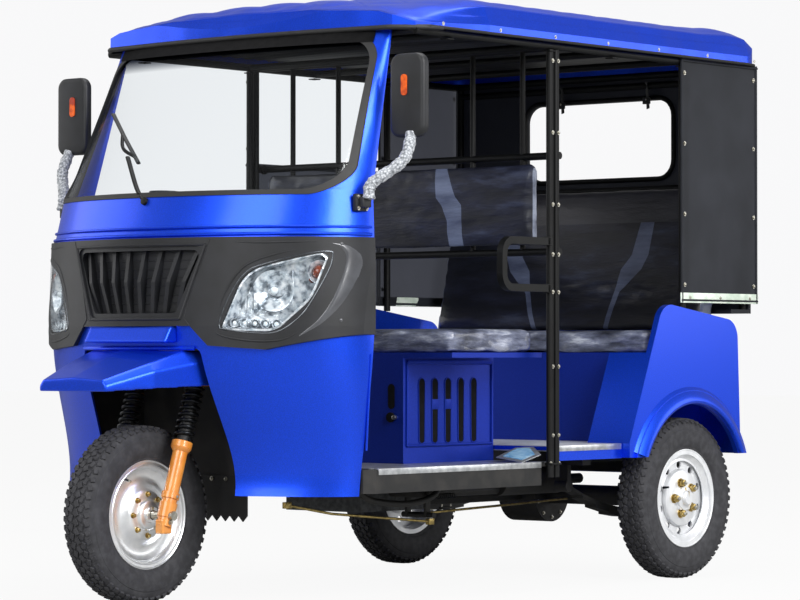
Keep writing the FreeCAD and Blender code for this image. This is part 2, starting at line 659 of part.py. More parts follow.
def make_grille():
    """A recessed panel with upright bars that swell forward at mid height."""
    outline = grille_prism("grille_outline", ZERO)
    inside = grille_prism("grille_inside", c.slat_bar)
    band = face_band("grille_band", c.fascia_wall / 2, c.grille_depth + c.skin)
    ring = cut("grille_ring", common("grille_rim", [band, outline]), [inside])
    plate_band = face_band("grille_plate_band", c.grille_depth, c.grille_depth + c.skin)
    plate = common("grille_plate", [plate_band, outline])
    front = behind(-c.front_reach)
    bars = []
    for number, share in enumerate(SLAT_SHARES):
        top = c.grille_top_half * share
        low = c.grille_low_half * share
        half = c.slat_width / 2
        bars.append(prism(f"slat_{number}", "front", front, behind(c.door_edge_y), [
            (low - half, c.grille_low_z), (low + half, c.grille_low_z),
            (top + half, c.grille_top_z), (top - half, c.grille_top_z)]))
    kink = (c.grille_low_z + c.grille_top_z) / 2
    swell = face_column("slat_face", ZERO, (c.grille_low_z - c.slat_bar, c.slat_depth),
                        (kink, c.fascia_wall / 2 + c.belt_lean / 2),
                        (c.grille_top_z + c.slat_bar, c.slat_depth + c.belt_lean))
    back = face_column("slat_back", c.grille_depth + c.skin)
    trimmed = cut("slats_trimmed", common("slats_swollen", [fuse("slats", bars), swell]), [back])
    slats = common("slats_in_recess", [trimmed, grille_prism("slat_recess", ZERO)])
    node(fuse("grille_moulding", [ring, plate, slats]), "grille")


def make_headlamps():
    """A hollow reflector housing with its bulb and small lamps, and a clear lens."""
    edge = lamp_prism("lamp_edge", -c.lamp_gap)
    band = face_band("lamp_band", c.lens_wall, c.lamp_depth)
    shell = common("lamp_blank", [band, edge])
    bowl_band = face_band("lamp_bowl_band", ZERO, c.bowl_depth)
    bowl = common("lamp_bowl", [bowl_band, lamp_prism("lamp_bowl_edge", -c.lamp_rim)])
    housing = cut("lamp_housing", shell, [bowl])
    nose, chin = (LAMP_SHARES[name] for name in ("nose", "chin"))
    front = behind(-c.front_reach)
    length = behind(c.door_edge_y) - front
    studs = []
    for number, share in enumerate(SMALL_LAMP_SHARES):
        x = c.body_half * (nose[0] + (chin[0] - nose[0]) * share)
        z = c.belt_z * (nose[1] + (chin[1] - nose[1]) * share) + c.lamp_rim + c.led_radius * 1.2
        studs.append(rod(f"small_lamp_{number}", "y", (x, front, z), length, c.led_radius))
    bulb_x = c.body_half * LAMP_MIDDLE_SHARES[0]
    bulb_z = c.belt_z * LAMP_MIDDLE_SHARES[1]
    studs.append(rod("bulb", "y", (bulb_x, front, bulb_z), length, c.bulb_radius))
    stud_band = face_band("stud_band", c.bowl_depth - c.led_height * 1.5, c.bowl_depth + c.skin)
    inside = lamp_prism("stud_edge", -c.lamp_rim / 2)
    lights = common("lamp_lights", [fuse("lamp_studs", studs), stud_band, inside])
    lamp = fuse("lamp_unit", [housing, lights])
    node(pair("lamp_units", lamp), "headlamps")
    lens_band = face_band("lens_band", ZERO, c.lens_wall)
    lens = common("lens_left", [lens_band, lamp_prism("lens_edge", -c.lamp_gap)])
    node(pair("lenses", lens), "headlamp_lenses")


def guard_section(body, y, half, top_half, low, crease, top, crown, inset, drop):
    """One cross-section of the mudguard, seen from the front."""
    return body.sketch("front", behind(y), [
        (inset - half, low - drop), (half - inset, low - drop), (half - inset, crease - inset),
        (top_half - inset, top - inset), (ZERO, crown - inset), (inset - top_half, top - inset),
        (inset - half, crease - inset)])


def make_mudguard(cowl_outer):
    """The beak over the front wheel: dished on top, creased along each side."""
    body = Body("mudguard_beak", helper=True)
    lip = (c.guard_lip_half, c.guard_lip_top_half, c.guard_lip_low_z,
           (c.guard_lip_low_z + c.guard_lip_top_z) / 2, c.guard_lip_top_z, c.guard_lip_crown_z)
    mid = (c.guard_mid_half, c.guard_mid_top_half, c.guard_mid_low_z, c.guard_mid_crease_z,
           c.guard_mid_top_z, c.guard_mid_crown_z)
    rear = (c.guard_root_half, c.guard_root_top_half, c.guard_root_low_z,
            c.guard_root_crease_z, c.guard_root_top_z, c.guard_root_top_z)
    for kind, inset, drop in (("AdditiveLoft", ZERO, ZERO),
                              ("SubtractiveLoft", c.guard_wall, c.overrun)):
        sections = [guard_section(body, y, *sizes, inset, drop) for y, sizes in
                    ((inset - c.front_reach, lip), (c.guard_mid_y, mid), (c.guard_root_y, rear))]
        body.loft(sections, kind, ruled=True)
    step = prism("guard_step", "side", -c.guard_mid_top_half, c.guard_mid_top_half, [
        (behind(-c.guard_step_y), c.guard_root_top_z - c.guard_wall),
        (behind(c.guard_root_y), c.guard_root_top_z - c.guard_wall),
        (behind(c.guard_root_y), c.guard_crown_z), (behind(-c.guard_step_y / 2), c.guard_crown_z)])
    whole = fuse("guard_whole", [body.body, step])
    way = c.guard_root_half + c.skin
    passage = block("guard_passage", (-way, way), (behind(-c.front_reach), behind(c.well_rear_y)),
                    (c.sill_bottom_z, c.well_top_z - c.well_wall))
    solid_cowl = cut("guard_seat", cowl_outer, [passage])
    node(cut("guard_pressing", whole, [solid_cowl]), "mudguard")


# Upper cowl, windscreen and what is behind it


def upper_stations():
    return [(c.belt_z, c.door_edge_y, c.belt_half, c.belt_depth),
            (c.scuttle_z, c.scuttle_y, c.scuttle_half, c.scuttle_depth),
            (c.roof_edge_z, c.header_y, c.header_half, c.header_depth)]


def upper_column(name, inset):
    return ellipse_loft(name, upper_stations(), inset, ruled=True)


def screen_prism(name, inset):
    return prism(name, "front", behind(-c.front_reach), behind(c.header_y), [
        (inset - c.screen_low_half, c.screen_low_z + inset, c.screen_round),
        (c.screen_low_half - inset, c.screen_low_z + inset, c.screen_round),
        (c.screen_top_half - inset, c.screen_top_z - inset, c.screen_round),
        (inset - c.screen_top_half, c.screen_top_z - inset, c.screen_round)])


def upper_front(name):
    """The space in front of the door openings' edge, which leans with the pillars."""
    front = behind(-c.front_reach)
    return prism(name, "side", -c.body_half, c.body_half, [
        (front, c.belt_z), (behind(c.door_edge_y), c.belt_z), (behind(c.scuttle_y), c.scuttle_z),
        (behind(c.header_y), c.roof_edge_z), (front, c.roof_edge_z)])


def make_upper_cowl():
    """The blue belt panel, the pillars and the header, as one pressing."""
    shell = cut("upper_shell", upper_column("upper_outer", ZERO),
                [upper_column("upper_inner", c.pillar_wall)])
    kept = common("upper_kept", [shell, upper_front("upper_keep")])
    node(cut("upper_pressing", kept, [screen_prism("screen_hole", ZERO)]), "upper_cowl")


def make_windscreen():
    """Curved glass in a rubber seal that fills the gap round it."""
    glass_skin = cut("glass_skin", upper_column("glass_face", c.glass_inset),
                     [upper_column("glass_back", c.glass_inset + c.glass_wall)])
    glass_edge = screen_prism("glass_edge", c.seal_width)
    node(common("glass_sheet", [glass_skin, glass_edge, upper_front("glass_keep")]), "windscreen")
    seal_skin = cut("seal_skin", upper_column("seal_face", -c.seal_proud),
                    [upper_column("seal_back", c.seal_back)])
    seal_ring = cut("seal_ring", screen_prism("seal_edge", ZERO),
                    [screen_prism("seal_inside", c.seal_width)])
    node(common("seal_moulding", [seal_skin, seal_ring, upper_front("seal_keep")]),
         "windscreen_seal")


def make_dashboard():
    """The shelf behind the windscreen's foot, with a raised instrument binnacle."""
    room = upper_column("dash_room", c.pillar_wall)
    front = behind(-c.front_reach)
    shelf = prism("dash_shelf", "side", -c.dash_half, c.dash_half, [
        (front, c.dash_low_z), (behind(c.dash_rear_y), c.dash_low_z),
        (behind(c.dash_rear_y), c.dash_top_z, c.dash_round), (front, c.dash_top_z)])
    pod = prism("dash_pod", "side", -c.pod_half, c.pod_half, [
        (behind(c.pod_front_y), c.dash_low_z), (behind(c.dash_rear_y), c.dash_low_z),
        (behind(c.dash_rear_y), c.pod_top_z), (behind(c.pod_front_y), c.dash_top_z)])
    node(common("dash_moulding", [fuse("dash_blank", [shelf, pod]), room]), "dashboard")


def make_wiper():
    """Spindle, arm and blade in front of the glass."""
    slope = c.wiper_slope
    spindle = rod("wiper_spindle", "y", (c.wiper_x, behind(c.wiper_y), c.wiper_z),
                  c.wiper_boss_length, c.wiper_boss_radius)
    boss = cut("wiper_boss", spindle, [upper_column("wiper_seat", ZERO)])
    arm = block("wiper_arm", (-c.wiper_arm_width / 2, c.wiper_arm_width / 2),
                (-c.wiper_arm_width / 2, c.wiper_arm_width / 2), (ZERO, c.wiper_arm_length))
    blade = block("wiper_blade", (-c.wiper_arm_width / 2, c.wiper_arm_width / 2),
                  (c.wiper_arm_width / 2, c.wiper_arm_width * 1.5),
                  (c.wiper_arm_length - c.wiper_blade_length / 2,
                   c.wiper_arm_length + c.wiper_blade_length / 2))
    sweep = fuse("wiper_sweep", [arm, blade])
    place(sweep, c.wiper_x, behind(c.wiper_y) + c.wiper_arm_width / 2, c.wiper_z,
          turn=FreeCAD.Rotation(FreeCAD.Vector(-1, 0, 0), slope.value))
    bind(sweep, Placement__Rotation__Angle=slope)
    node(fuse("wiper_unit", [boss, sweep]), "wiper")


# Roof


def roof_stations():
    """Cross-sections from the visor's lip to the rear edge."""
    rear = c.rear_reach
    places = {"lip": c.visor_y, "swell": c.visor_swell_y, "brow": c.visor_brow_y,
              "rise": c.roof_rise_y, "level": c.roof_level_y, "hump": c.roof_hump_y,
              "fall": c.roof_fall_y, "back": c.roof_back_y, "rear": rear}
    return [(places[name], ROOF_SHARES[name]) for name in places]


def roof_section(body, y, shares, inset, end_inset):
    """One cross-section: its points are shares of the half width and of the roof's rise."""
    low = c.roof_edge_z
    rise = c.roof_crown_z - low
    side = [(c.roof_half * across - inset, low + rise * up - inset) for across, up in shares]
    foot = [(side[0][0], low + inset)]
    right = foot + side
    left = [(-u, v) for u, v in reversed(right)]
    crown = [(ZERO, low + rise * ROOF_CROWN_SHARES[shares] - inset)]
    return body.sketch("front", behind(y) + end_inset, right + crown + left)


def roof_blank(name, inset):
    """The swelling top as a loft along the vehicle, trimmed to the roof's plan."""
    body = Body(f"{name}_loft", helper=True)
    stations = roof_stations()
    ends = [inset] + [ZERO] * (len(stations) - 2) + [-inset]
    sections = [roof_section(body, y, shares, inset, end)
                for (y, shares), end in zip(stations, ends)]
    body.loft(sections, ruled=True)
    plan = prism(f"{name}_plan", "top", c.roof_edge_z, c.roof_crown_z + c.overrun, [
        (-c.visor_corner_x, behind(c.visor_corner_y) + inset), Bow(ZERO, behind(c.visor_y) + inset),
        (c.visor_corner_x, behind(c.visor_corner_y) + inset),
        (c.roof_half - inset, behind(c.visor_side_y) + inset),
        (c.roof_half - inset, behind(c.rear_reach) - inset, c.roof_round),
        (inset - c.roof_half, behind(c.rear_reach) - inset, c.roof_round),
        (inset - c.roof_half, behind(c.visor_side_y) + inset)])
    return common(name, [body.body, plan])


def make_roof():
    outer = roof_blank("roof_outer", ZERO)
    room = roof_blank("roof_inner", c.roof_wall)
    edge = c.roof_wall + c.roof_flange
    opening = prism("roof_opening", "top", c.roof_edge_z - c.overrun, c.roof_edge_z + c.overrun, [
        (edge - c.roof_half, behind(c.visor_side_y) + edge),
        (-c.visor_corner_x, behind(c.visor_corner_y) + edge),
        Bow(ZERO, behind(c.visor_y) + edge),
        (c.visor_corner_x, behind(c.visor_corner_y) + edge),
        (c.roof_half - edge, behind(c.visor_side_y) + edge),
        (c.roof_half - edge, behind(c.rear_reach) - edge, c.roof_round - edge),
        (edge - c.roof_half, behind(c.rear_reach) - edge, c.roof_round - edge)])
    node(cut("roof_shell", outer, [room, opening]), "roof")


def make_roof_frame():
    """Black tube bows under the roof, from side rail to side rail."""
    parts = []
    inside = RAIL_X
    for side, x in (("left", inside), ("right", -inside)):
        parts.append(rod(f"roof_rail_{side}", "y", (x, behind(RAIL_FRONT), RAIL_Z),
                         REAR_POST - RAIL_FRONT, c.post_radius))
    for number, y in enumerate((RAIL_FRONT, c.bow_front_y, c.b_post_y, c.bow_rear_y,
                                c.c_post_y, REAR_POST)):
        parts.append(rod(f"roof_bow_{number}", "x", (-inside, behind(y), RAIL_Z), inside * 2,
                         c.post_radius))
    node(fuse("roof_tubes", parts), "roof_frame")


def make_side_frame(side, sign):
    """The paired middle post, the rear post and the looped grab rail of one side."""
    x = RAIL_X * sign
    parts = []
    for number in (0, 1):
        y = behind(c.b_post_y + c.post_pitch * number)
        parts.append(rod(f"middle_post_{side}{number}", "z", (x, y, c.b_foot_z),
                         RAIL_Z - c.post_radius - c.b_foot_z, c.post_radius))
    parts.append(rod(f"curtain_post_{side}", "z", (x, behind(c.c_post_y), C_FOOT_Z),
                     RAIL_Z - c.post_radius - C_FOOT_Z, c.post_radius))
    half = c.post_radius
    post, front = behind(c.b_post_y), behind(c.loop_front_y)
    loop = prism(f"grab_loop_{side}", "side", x - half, x + half, [
        (post, c.loop_low_z), (front, c.loop_low_z, c.loop_round),
        (front, c.loop_top_z, c.loop_round), (post, c.loop_top_z),
        (post, c.loop_top_z - half * 2),
        (front + half * 2, c.loop_top_z - half * 2, c.loop_round - half * 2),
        (front + half * 2, c.loop_low_z + half * 2, c.loop_round - half * 2),
        (post, c.loop_low_z + half * 2)])
    parts.append(loop)
    node(fuse(f"side_tubes_{side}", parts), f"side_frame_{side}")


def make_partition_frame():
    """Tubes behind the driver: two cross bars and the uprights above them."""
    y = behind(PARTITION)
    span = RAIL_X - c.post_radius
    parts = [rod(f"partition_bar_{name}", "x", (-RAIL_X, y, z), RAIL_X * 2, c.post_radius)
             for name, z in (("low", c.seat_bar_low_z), ("top", c.seat_bar_top_z))]
    for number, x in enumerate((-c.upright_outer_x, -c.upright_inner_x, c.upright_inner_x,
                                c.upright_outer_x)):
        parts.append(rod(f"partition_upright_{number}", "z", (x, y, c.seat_bar_low_z),
                         RAIL_Z - c.seat_bar_low_z, c.upright_radius))
    parts.append(rod("partition_header", "x", (-span, y, RAIL_Z), span * 2, c.post_radius))
    node(fuse("partition_tubes", parts), "partition_frame")


def make_rear_frame():
    """Corner posts and the two bars inside the rear wall."""
    y = behind(c.wall_y) - c.wall_thick - c.post_radius
    low = c.wall_low_z + c.shelf_wall
    high = RAIL_Z - c.post_radius
    parts = [rod(f"corner_post_{side}", "z", (x, y, low), high - low, c.post_radius)
             for side, x in (("left", c.rear_post_x), ("right", -c.rear_post_x))]
    for name, z in (("low", c.rear_bar_low_z), ("top", c.rear_bar_top_z)):
        parts.append(rod(f"rear_bar_{name}", "x", (-c.rear_post_x, y, z), c.rear_post_x * 2,
                         c.post_radius))
    node(fuse("rear_tubes", parts), "rear_frame")


# Chassis and floors


def fork_axis_y():
    return c.fork_offset * cosine(c.rake)


def fork_axis_z():
    return c.wheel_radius - c.fork_offset * sine(c.rake)


def on_steering_axis(thing, along=ZERO):
    """Lean a thing back with the steering axis, a distance along it."""
    thing.Placement = FreeCAD.Placement(
        FreeCAD.Vector(), FreeCAD.Rotation(FreeCAD.Vector(-1, 0, 0), c.rake.value))
    bind(thing, Placement__Base__y=behind(fork_axis_y()) + along * sine(c.rake),
         Placement__Base__z=fork_axis_z() + along * cosine(c.rake),
         Placement__Rotation__Angle=c.rake)
    return thing


def raked_rod(name, low, high, radius):
    thing = doc.addObject("Part::Cylinder", name)
    bind(thing, Radius=radius, Height=high - low)
    return on_steering_axis(thing, low)


def make_chassis():
    """Two kicked-up rails, their cross members and the neck with the head tube."""
    parts = []
    low, high = c.chassis_z, c.chassis_z + c.rail_height
    for side, sign in (("left", 1), ("right", -1)):
        inner = c.rail_inner_x * sign
        outer = (c.rail_inner_x + c.rail_width) * sign
        x0, x1 = (inner, outer) if sign > 0 else (outer, inner)
        parts.append(prism(f"rail_{side}", "side", x0, x1, [
            (behind(c.well_rear_y), low), (behind(c.kick_front_y), low),
            (behind(c.kick_rear_y), low + c.kick_rise), (behind(c.chassis_rear_y), low + c.kick_rise),
            (behind(c.chassis_rear_y), high + c.kick_rise),
            (behind(c.floor_step_y), high + c.kick_rise), (behind(c.floor_step_y), high),
            (behind(c.well_rear_y), high)]))
    span = c.rail_inner_x
    reach = c.body_half - c.sill_width
    for name, y0, width, half, rise in (
            ("front", c.well_rear_y, c.rail_height, reach, ZERO),
            ("engine_front", c.engine_front_y - c.rail_width, c.rail_width, reach, ZERO),
            ("engine_rear", c.engine_rear_y, c.rail_width, reach, ZERO),
            ("spring_front", c.spring_front_y, c.rail_width, c.rear_floor_half, c.kick_rise),
            ("tail", c.chassis_rear_y - c.rail_width, c.rail_width, c.rear_floor_half,
             c.kick_rise)):
        parts.append(block(f"cross_{name}", (-half, half), (behind(y0), behind(y0) + width),
                           (low + rise, high + rise)))
    neck_rear = c.well_rear_y + c.neck_depth
    parts.append(block("neck", (-c.neck_half, c.neck_half),
                       (behind(c.well_rear_y), behind(neck_rear)), (high, c.neck_top_z)))
    parts.append(prism("gusset", "side", -c.neck_half / 2, c.neck_half / 2, [
        (behind(c.well_rear_y), c.well_top_z + c.skin),
        (behind(c.well_rear_y), c.neck_top_z),
        (behind(c.gusset_y), c.neck_top_z), (behind(c.gusset_y), c.well_top_z + c.skin)]))
    parts.append(raked_rod("head_tube", c.head_low, c.head_top, c.head_radius))
    bore = raked_rod("head_bore", c.head_low - c.overrun, c.head_top + c.overrun * 2,
                     c.stem_radius + c.running_gap)
    node(cut("chassis_weldment", fuse("chassis_members", parts), [bore]), "chassis_frame")


def make_floors():
    """The driver's floor with its black sills, and the raised passenger floor."""
    low = c.chassis_z + c.rail_height
    top = low + c.floor_wall
    driver = Body("driver_floor")
    toe, door, step = behind(c.well_rear_y), behind(c.door_edge_y), behind(c.floor_step_y)
    driver.pad("top", low, top, [
        (-c.floor_toe_half, toe), (c.floor_toe_half, toe), (c.body_half, door),
        (c.body_half, step), (-c.body_half, step), (-c.body_half, door)])
    driver.pocket("top", low, top,
                  rectangle(-c.engine_half - c.overrun, c.engine_half + c.overrun,
                            behind(c.engine_front_y), behind(c.engine_rear_y)),
                  rectangle(-c.neck_half, c.neck_half, toe - c.overrun, toe + c.neck_depth))
    sill_end = behind(c.b_post_y) - c.post_pitch
    for sign in (1, -1):
        inner = (c.body_half - c.sill_width) * sign
        driver.pad("top", c.chassis_z, low, [
            (inner, toe), (c.floor_toe_half * sign, toe), (c.body_half * sign, door),
            (c.body_half * sign, sill_end), (inner, sill_end)])
    rear_low = low + c.kick_rise
    rear_top = rear_low + c.floor_wall
    side_end = behind(c.fender_foot_y)
    rear = Body("passenger_floor")
    rear.pad("top", rear_low, rear_top, rectangle(-c.body_half, c.body_half, step, side_end))
    rear.pad("top", rear_low, rear_top, rectangle(-c.rear_floor_half, c.rear_floor_half, side_end,
                                                  behind(c.chassis_rear_y)))
    span = c.rail_inner_x
    rear.pad("top", top, rear_low, rectangle(-span, span, step, step + c.floor_wall))
    for x0, x1 in ((c.body_half - c.sill_width, c.body_half),
                   (-c.body_half, c.sill_width - c.body_half)):
        rear.pad("top", c.rear_sill_z, rear_low, rectangle(x0, x1, step + c.post_pitch, side_end))


def make_wheelhouse(cowl_inner):
    """The black box round the front wheel, inside the cowl."""
    front = behind(-c.front_reach)
    low = c.sill_bottom_z + c.floor_wall
    outer = block("well_outer", (-c.well_half, c.well_half), (front, behind(c.well_rear_y)),
                  (low, c.well_top_z))
    inner = block("well_inner", (c.well_wall - c.well_half, c.well_half - c.well_wall),
                  (front, behind(c.well_rear_y) - c.well_wall),
                  (low - c.overrun, c.well_top_z - c.well_wall))
    pass_hole = raked_rod("well_hole", c.head_low - c.overrun, c.head_top, c.head_radius + c.skin)
    box = cut("well_box", outer, [inner, pass_hole])
    node(common("well_in_cowl", [box, cowl_inner]), "wheel_well")
    flap = Body("mud_flap")
    y = behind(c.well_rear_y) - c.well_wall
    flap.pad("front", y - c.flap_wall, y, flap_outline(low))


def flap_outline(low):
    """A rubber sheet with a toothed lower edge."""
    bottom = low - c.flap_drop
    half = c.flap_width / 2
    count = 8
    pitch = c.flap_width / count
    outline = [(half, low + c.overrun), (-half, low + c.overrun)]
    for number in range(count):
        outline.append((-half + pitch * number, bottom + pitch / 2))
        outline.append((-half + pitch * (number + 0.5), bottom))
    outline.append((half, bottom + pitch / 2))
    return outline


# Seats


def make_driver_seat():
    """The slotted box over the engine, the bench on it and the padded back."""
    low = c.chassis_z + c.rail_height + c.floor_wall
    front, rear = behind(c.bench_front_y), behind(c.bench_rear_y)
    box = Body("driver_seat_box")
    box.pad("top", low, c.seat_z, rectangle(-c.box_half, c.box_half, front, rear))
    box.pad("top", c.seat_z - c.pan_wall, c.seat_z,
            rectangle(-c.bench_half, c.bench_half, front, rear))
    wall = c.box_wall
    box.pocket("top", low, c.seat_z - wall,
               rectangle(wall - c.box_half, c.box_half - wall, front + wall, rear - wall))
    slots = []
    for number in range(5):
        y = behind(c.slot_first_y) + c.slot_pitch * number
        slots.append(rectangle(y - c.slot_width / 2, y + c.slot_width / 2, c.slot_low_z,
                               c.slot_top_z, c.slot_width * 0.45))
    box.pocket("side", -c.box_half - wall, c.box_half + wall, *slots)
    cushion = Body("driver_cushion")
    cushion.pad("top", c.seat_z + c.soft_gap, c.seat_z + c.cushion_wall, rectangle(
        -c.bench_half, c.bench_half, front, rear, c.cushion_round))
    back = Body("driver_backrest")
    y = behind(PARTITION) - c.upright_radius - c.soft_gap
    back.pad("front", y - c.driver_pad_wall, y, rectangle(
        -c.bench_half, c.bench_half, c.driver_pad_low_z, c.driver_pad_top_z, c.cushion_round))


def make_passenger_seat():
    """The plain box under the rear bench, its cushion and the sloping back."""
    low = c.chassis_z + c.rail_height + c.kick_rise + c.floor_wall
    wall = c.box_wall
    front, rear = behind(c.bench_back_y), behind(c.chassis_rear_y)
    box = Body("passenger_seat_box")
    box.pad("top", low, c.seat_z, rectangle(-c.rear_box_half, c.rear_box_half, front, rear))
    box.pocket("top", low, c.seat_z - wall, rectangle(
        wall - c.rear_box_half, c.rear_box_half - wall, front + wall, rear - wall))
    cushion = Body("passenger_cushion")
    cushion.pad("top", c.seat_z + c.soft_gap, c.seat_z + c.cushion_wall, rectangle(
        -c.rear_cushion_half, c.rear_cushion_half, behind(c.rear_cushion_y),
        behind(c.rear_cushion_rear_y), c.cushion_round))
    back = Body("passenger_backrest")
    back.pad("side", -c.back_half, c.back_half, [
        (behind(c.back_low_y), c.back_low_z), (behind(c.back_low_y) + c.back_wall, c.back_low_z),
        (behind(BACK_TOP_Y) + c.back_wall, c.back_top_z), (behind(BACK_TOP_Y), c.back_top_z)])


# Rear body


def fender_outline():
    return [(behind(c.fender_foot_y), c.fender_foot_z),
            (behind(c.fender_foot_y), c.fender_tail_z),
            (behind(c.fender_tail_y), c.fender_tail_z),
            (behind(c.fender_back_y), c.fender_back_z, c.fender_round),
            (behind(c.fender_top_y), c.fender_top_z, c.fender_round)]


def wheel_box_outline(inset, drop):
    """The box under the bench, which ends at seat height with the fender's own slopes."""
    front = c.fender_foot_y + FENDER_LEAN * (c.seat_z - c.fender_foot_z)
    rear = c.fender_tail_y - TAIL_LEAN * (c.seat_z - c.fender_tail_z)
    return [(behind(c.fender_foot_y) + inset, c.fender_foot_z - drop),
            (behind(c.fender_foot_y) + inset, c.fender_tail_z - drop),
            (behind(c.fender_tail_y) - inset, c.fender_tail_z - drop),
            (behind(rear) - inset, c.seat_z - inset), (behind(front) + inset, c.seat_z - inset)]


def make_fender(side, sign):
    """An outer panel with arch and flare, and the hollow wheel box inside it."""
    body = Body(f"rear_fender_{side}")

    def span(inner, outer):
        return (inner, outer) if sign > 0 else (-outer, -inner)

    wall = c.fender_wall
    panel = c.fender_outer_x - c.fender_panel
    centre = (behind(c.arch_y), c.arch_z)
    body.pad("side", *span(panel, c.fender_outer_x), fender_outline())
    body.pad("side", *span(c.fender_inner_x, c.fender_outer_x - wall),
             wheel_box_outline(ZERO, ZERO))
    body.pad("side", *span(panel, c.fender_outer_x + c.flare_proud),
             Round(*centre, c.flare_radius))
    body.pocket("side", *span(c.fender_inner_x + wall, c.fender_outer_x - wall),
                wheel_box_outline(wall, c.overrun * 2))
    body.pocket("side", *span(c.fender_inner_x + wall, c.fender_outer_x + c.flare_proud * 2),
                Round(*centre, c.arch_radius))
    below = c.fender_tail_z - c.arch_radius
    body.pocket("side", *span(panel - wall, c.fender_outer_x + c.flare_proud * 2),
                rectangle(behind(c.arch_y) - c.flare_radius, behind(c.arch_y) + c.flare_radius,
                          below - c.flare_radius, c.fender_tail_z))


def make_tail():
    """The lower tail panel, the shelf over it and the rear wall with its window."""
    tail = Body("tail_panel")
    wall = c.tail_wall
    tail.pad("side", -c.tail_half, c.tail_half, [
        (behind(c.fender_tail_y) - wall, c.tail_low_z), (behind(c.fender_tail_y), c.tail_low_z),
        (behind(c.fender_tail_y), c.fender_tail_z), (behind(c.fender_back_y) + wall, c.wall_low_z),
        (behind(c.fender_back_y), c.wall_low_z),
        (behind(c.fender_tail_y) - wall, c.fender_tail_z)])
    back = Body("rear_wall")
    rear = behind(c.wall_y)
    back.pad("front", rear - c.wall_thick, rear, rectangle(
        -c.wall_half, c.wall_half, c.wall_low_z, c.roof_edge_z), rectangle(
        -c.window_half, c.window_half, c.window_low_z, c.window_top_z, c.window_round))
    back.pad("top", c.wall_low_z, c.wall_low_z + c.shelf_wall, rectangle(
        -c.wall_half, c.wall_half, behind(c.fender_back_y), rear))
    lamp = Body("tail_lamp_left", helper=True)
    lamp.pad("front", behind(c.fender_back_y) + wall * 0.75,
             behind(c.fender_tail_y) + c.tail_lamp_depth, rectangle(
                 c.lamp_x - c.lamp_half_width, c.lamp_x + c.lamp_half_width,
                 c.lamp_z - c.lamp_half_height, c.lamp_z + c.lamp_half_height,
                 c.tail_lamp_round))
    seated = cut("tail_lamp_seated", lamp.body, [tail.body])
    node(pair("tail_lamp_pair", seated), "tail_lamps")


def make_curtain(side, sign):
    """The stiff side curtain between the rear posts."""
    body = Body(f"curtain_{side}")
    inner, outer = CURTAIN_X, CURTAIN_X + c.curtain_wall
    x0, x1 = (inner, outer) if sign > 0 else (-outer, -inner)
    body.pad("side", x0, x1, rectangle(behind(c.curtain_front_y), behind(c.curtain_rear_y),
                                       c.curtain_low_z, c.roof_edge_z))


def make_side_guard():
    """The low panel that closes the passengers' right side."""
    body = Body("side_guard_right")
    inner, outer = CURTAIN_X, CURTAIN_X + c.curtain_wall
    body.pad("side", -outer, -inner, rectangle(
        behind(c.b_post_y), behind(c.curtain_front_y), c.curtain_low_z, c.hatch_top_z))


# Steering, fork and front wheel


def make_fork():
    """Telescopic legs, yoke and stem, drawn upright and leaned back with the head."""
    ahead = -c.fork_offset
    legs = []
    for side, x in (("left", c.leg_x), ("right", -c.leg_x)):
        legs.append(rod(f"slider_{side}", "z", (x, ahead, c.slider_low),
                        c.slider_top - c.slider_low, c.slider_radius))
        legs.append(rod(f"fork_tube_{side}", "z", (x, ahead, c.slider_top),
                        c.yoke_low - c.slider_top, c.tube_radius))
    yoke = block("yoke", (-c.yoke_half, c.yoke_half), (ahead - c.yoke_front, c.yoke_rear),
                 (c.yoke_low, c.yoke_low + c.yoke_wall))
    stem = rod("stem", "z", (ZERO, ZERO, c.yoke_low + c.yoke_wall),
               c.stem_top - c.yoke_low - c.yoke_wall, c.stem_radius)
    pin_hole = rod("axle_hole", "x", (-c.yoke_half - c.overrun, ahead, ZERO),
                   (c.yoke_half + c.overrun) * 2, c.axle_radius)
    whole = cut("fork_unit", fuse("fork_members", legs + [yoke, stem]), [pin_hole])
    node(on_steering_axis(whole), "fork")


def make_fork_springs():
    """The coil over each leg's tube: a ruled loft of wire sections up a helix."""
    wire = c.spring_wire
    radius = c.spring_radius - wire
    count = int((c.spring_turns * c.spring_steps).value)
    length = c.yoke_low - c.slider_top - wire * 2
    sections = []
    for number in range(count + 1):
        angle = Size(360) * number / c.spring_steps
        ring = doc.addObject("Part::RegularPolygon", f"coil_wire{number}")
        ring.Polygon = 4
        turn = FreeCAD.Rotation(FreeCAD.Vector(0, 0, 1), angle.value) * \
            FreeCAD.Rotation(FreeCAD.Vector(1, 0, 0), 90)
        bind(ring, Circumradius=wire)
        sections.append(place(ring, c.leg_x + radius * cosine(angle),
                              radius * sine(angle) - c.fork_offset,
                              c.slider_top + wire + length * number / count, turn=turn))
    both = pair("fork_coils", ruled_solid("coil_left", sections))
    node(on_steering_axis(both), "fork_springs")


def make_front_axle():
    """The spindle through the hub with a nut on each end."""
    reach = c.leg_x + c.slider_radius
    spindle = rod("spindle", "x", (-reach, behind(ZERO), c.wheel_radius), reach * 2,
                  c.axle_radius - c.running_gap)
    parts = [spindle]
    for side, x in (("left", reach), ("right", -reach - c.axle_nut_wall)):
        parts.append(rod(f"axle_nut_{side}", "x", (x, behind(ZERO), c.wheel_radius),
                         c.axle_nut_wall, c.axle_nut_radius))
    start = c.front_hub_half + c.hub_clear
    length = c.leg_x - c.slider_radius - start
    for side, x in (("left", start), ("right", -start - length)):
        parts.append(rod(f"axle_spacer_{side}", "x", (x, behind(ZERO), c.wheel_radius),
                         length, c.spacer_radius))
    node(fuse("spindle_and_nuts", parts), "front_axle")


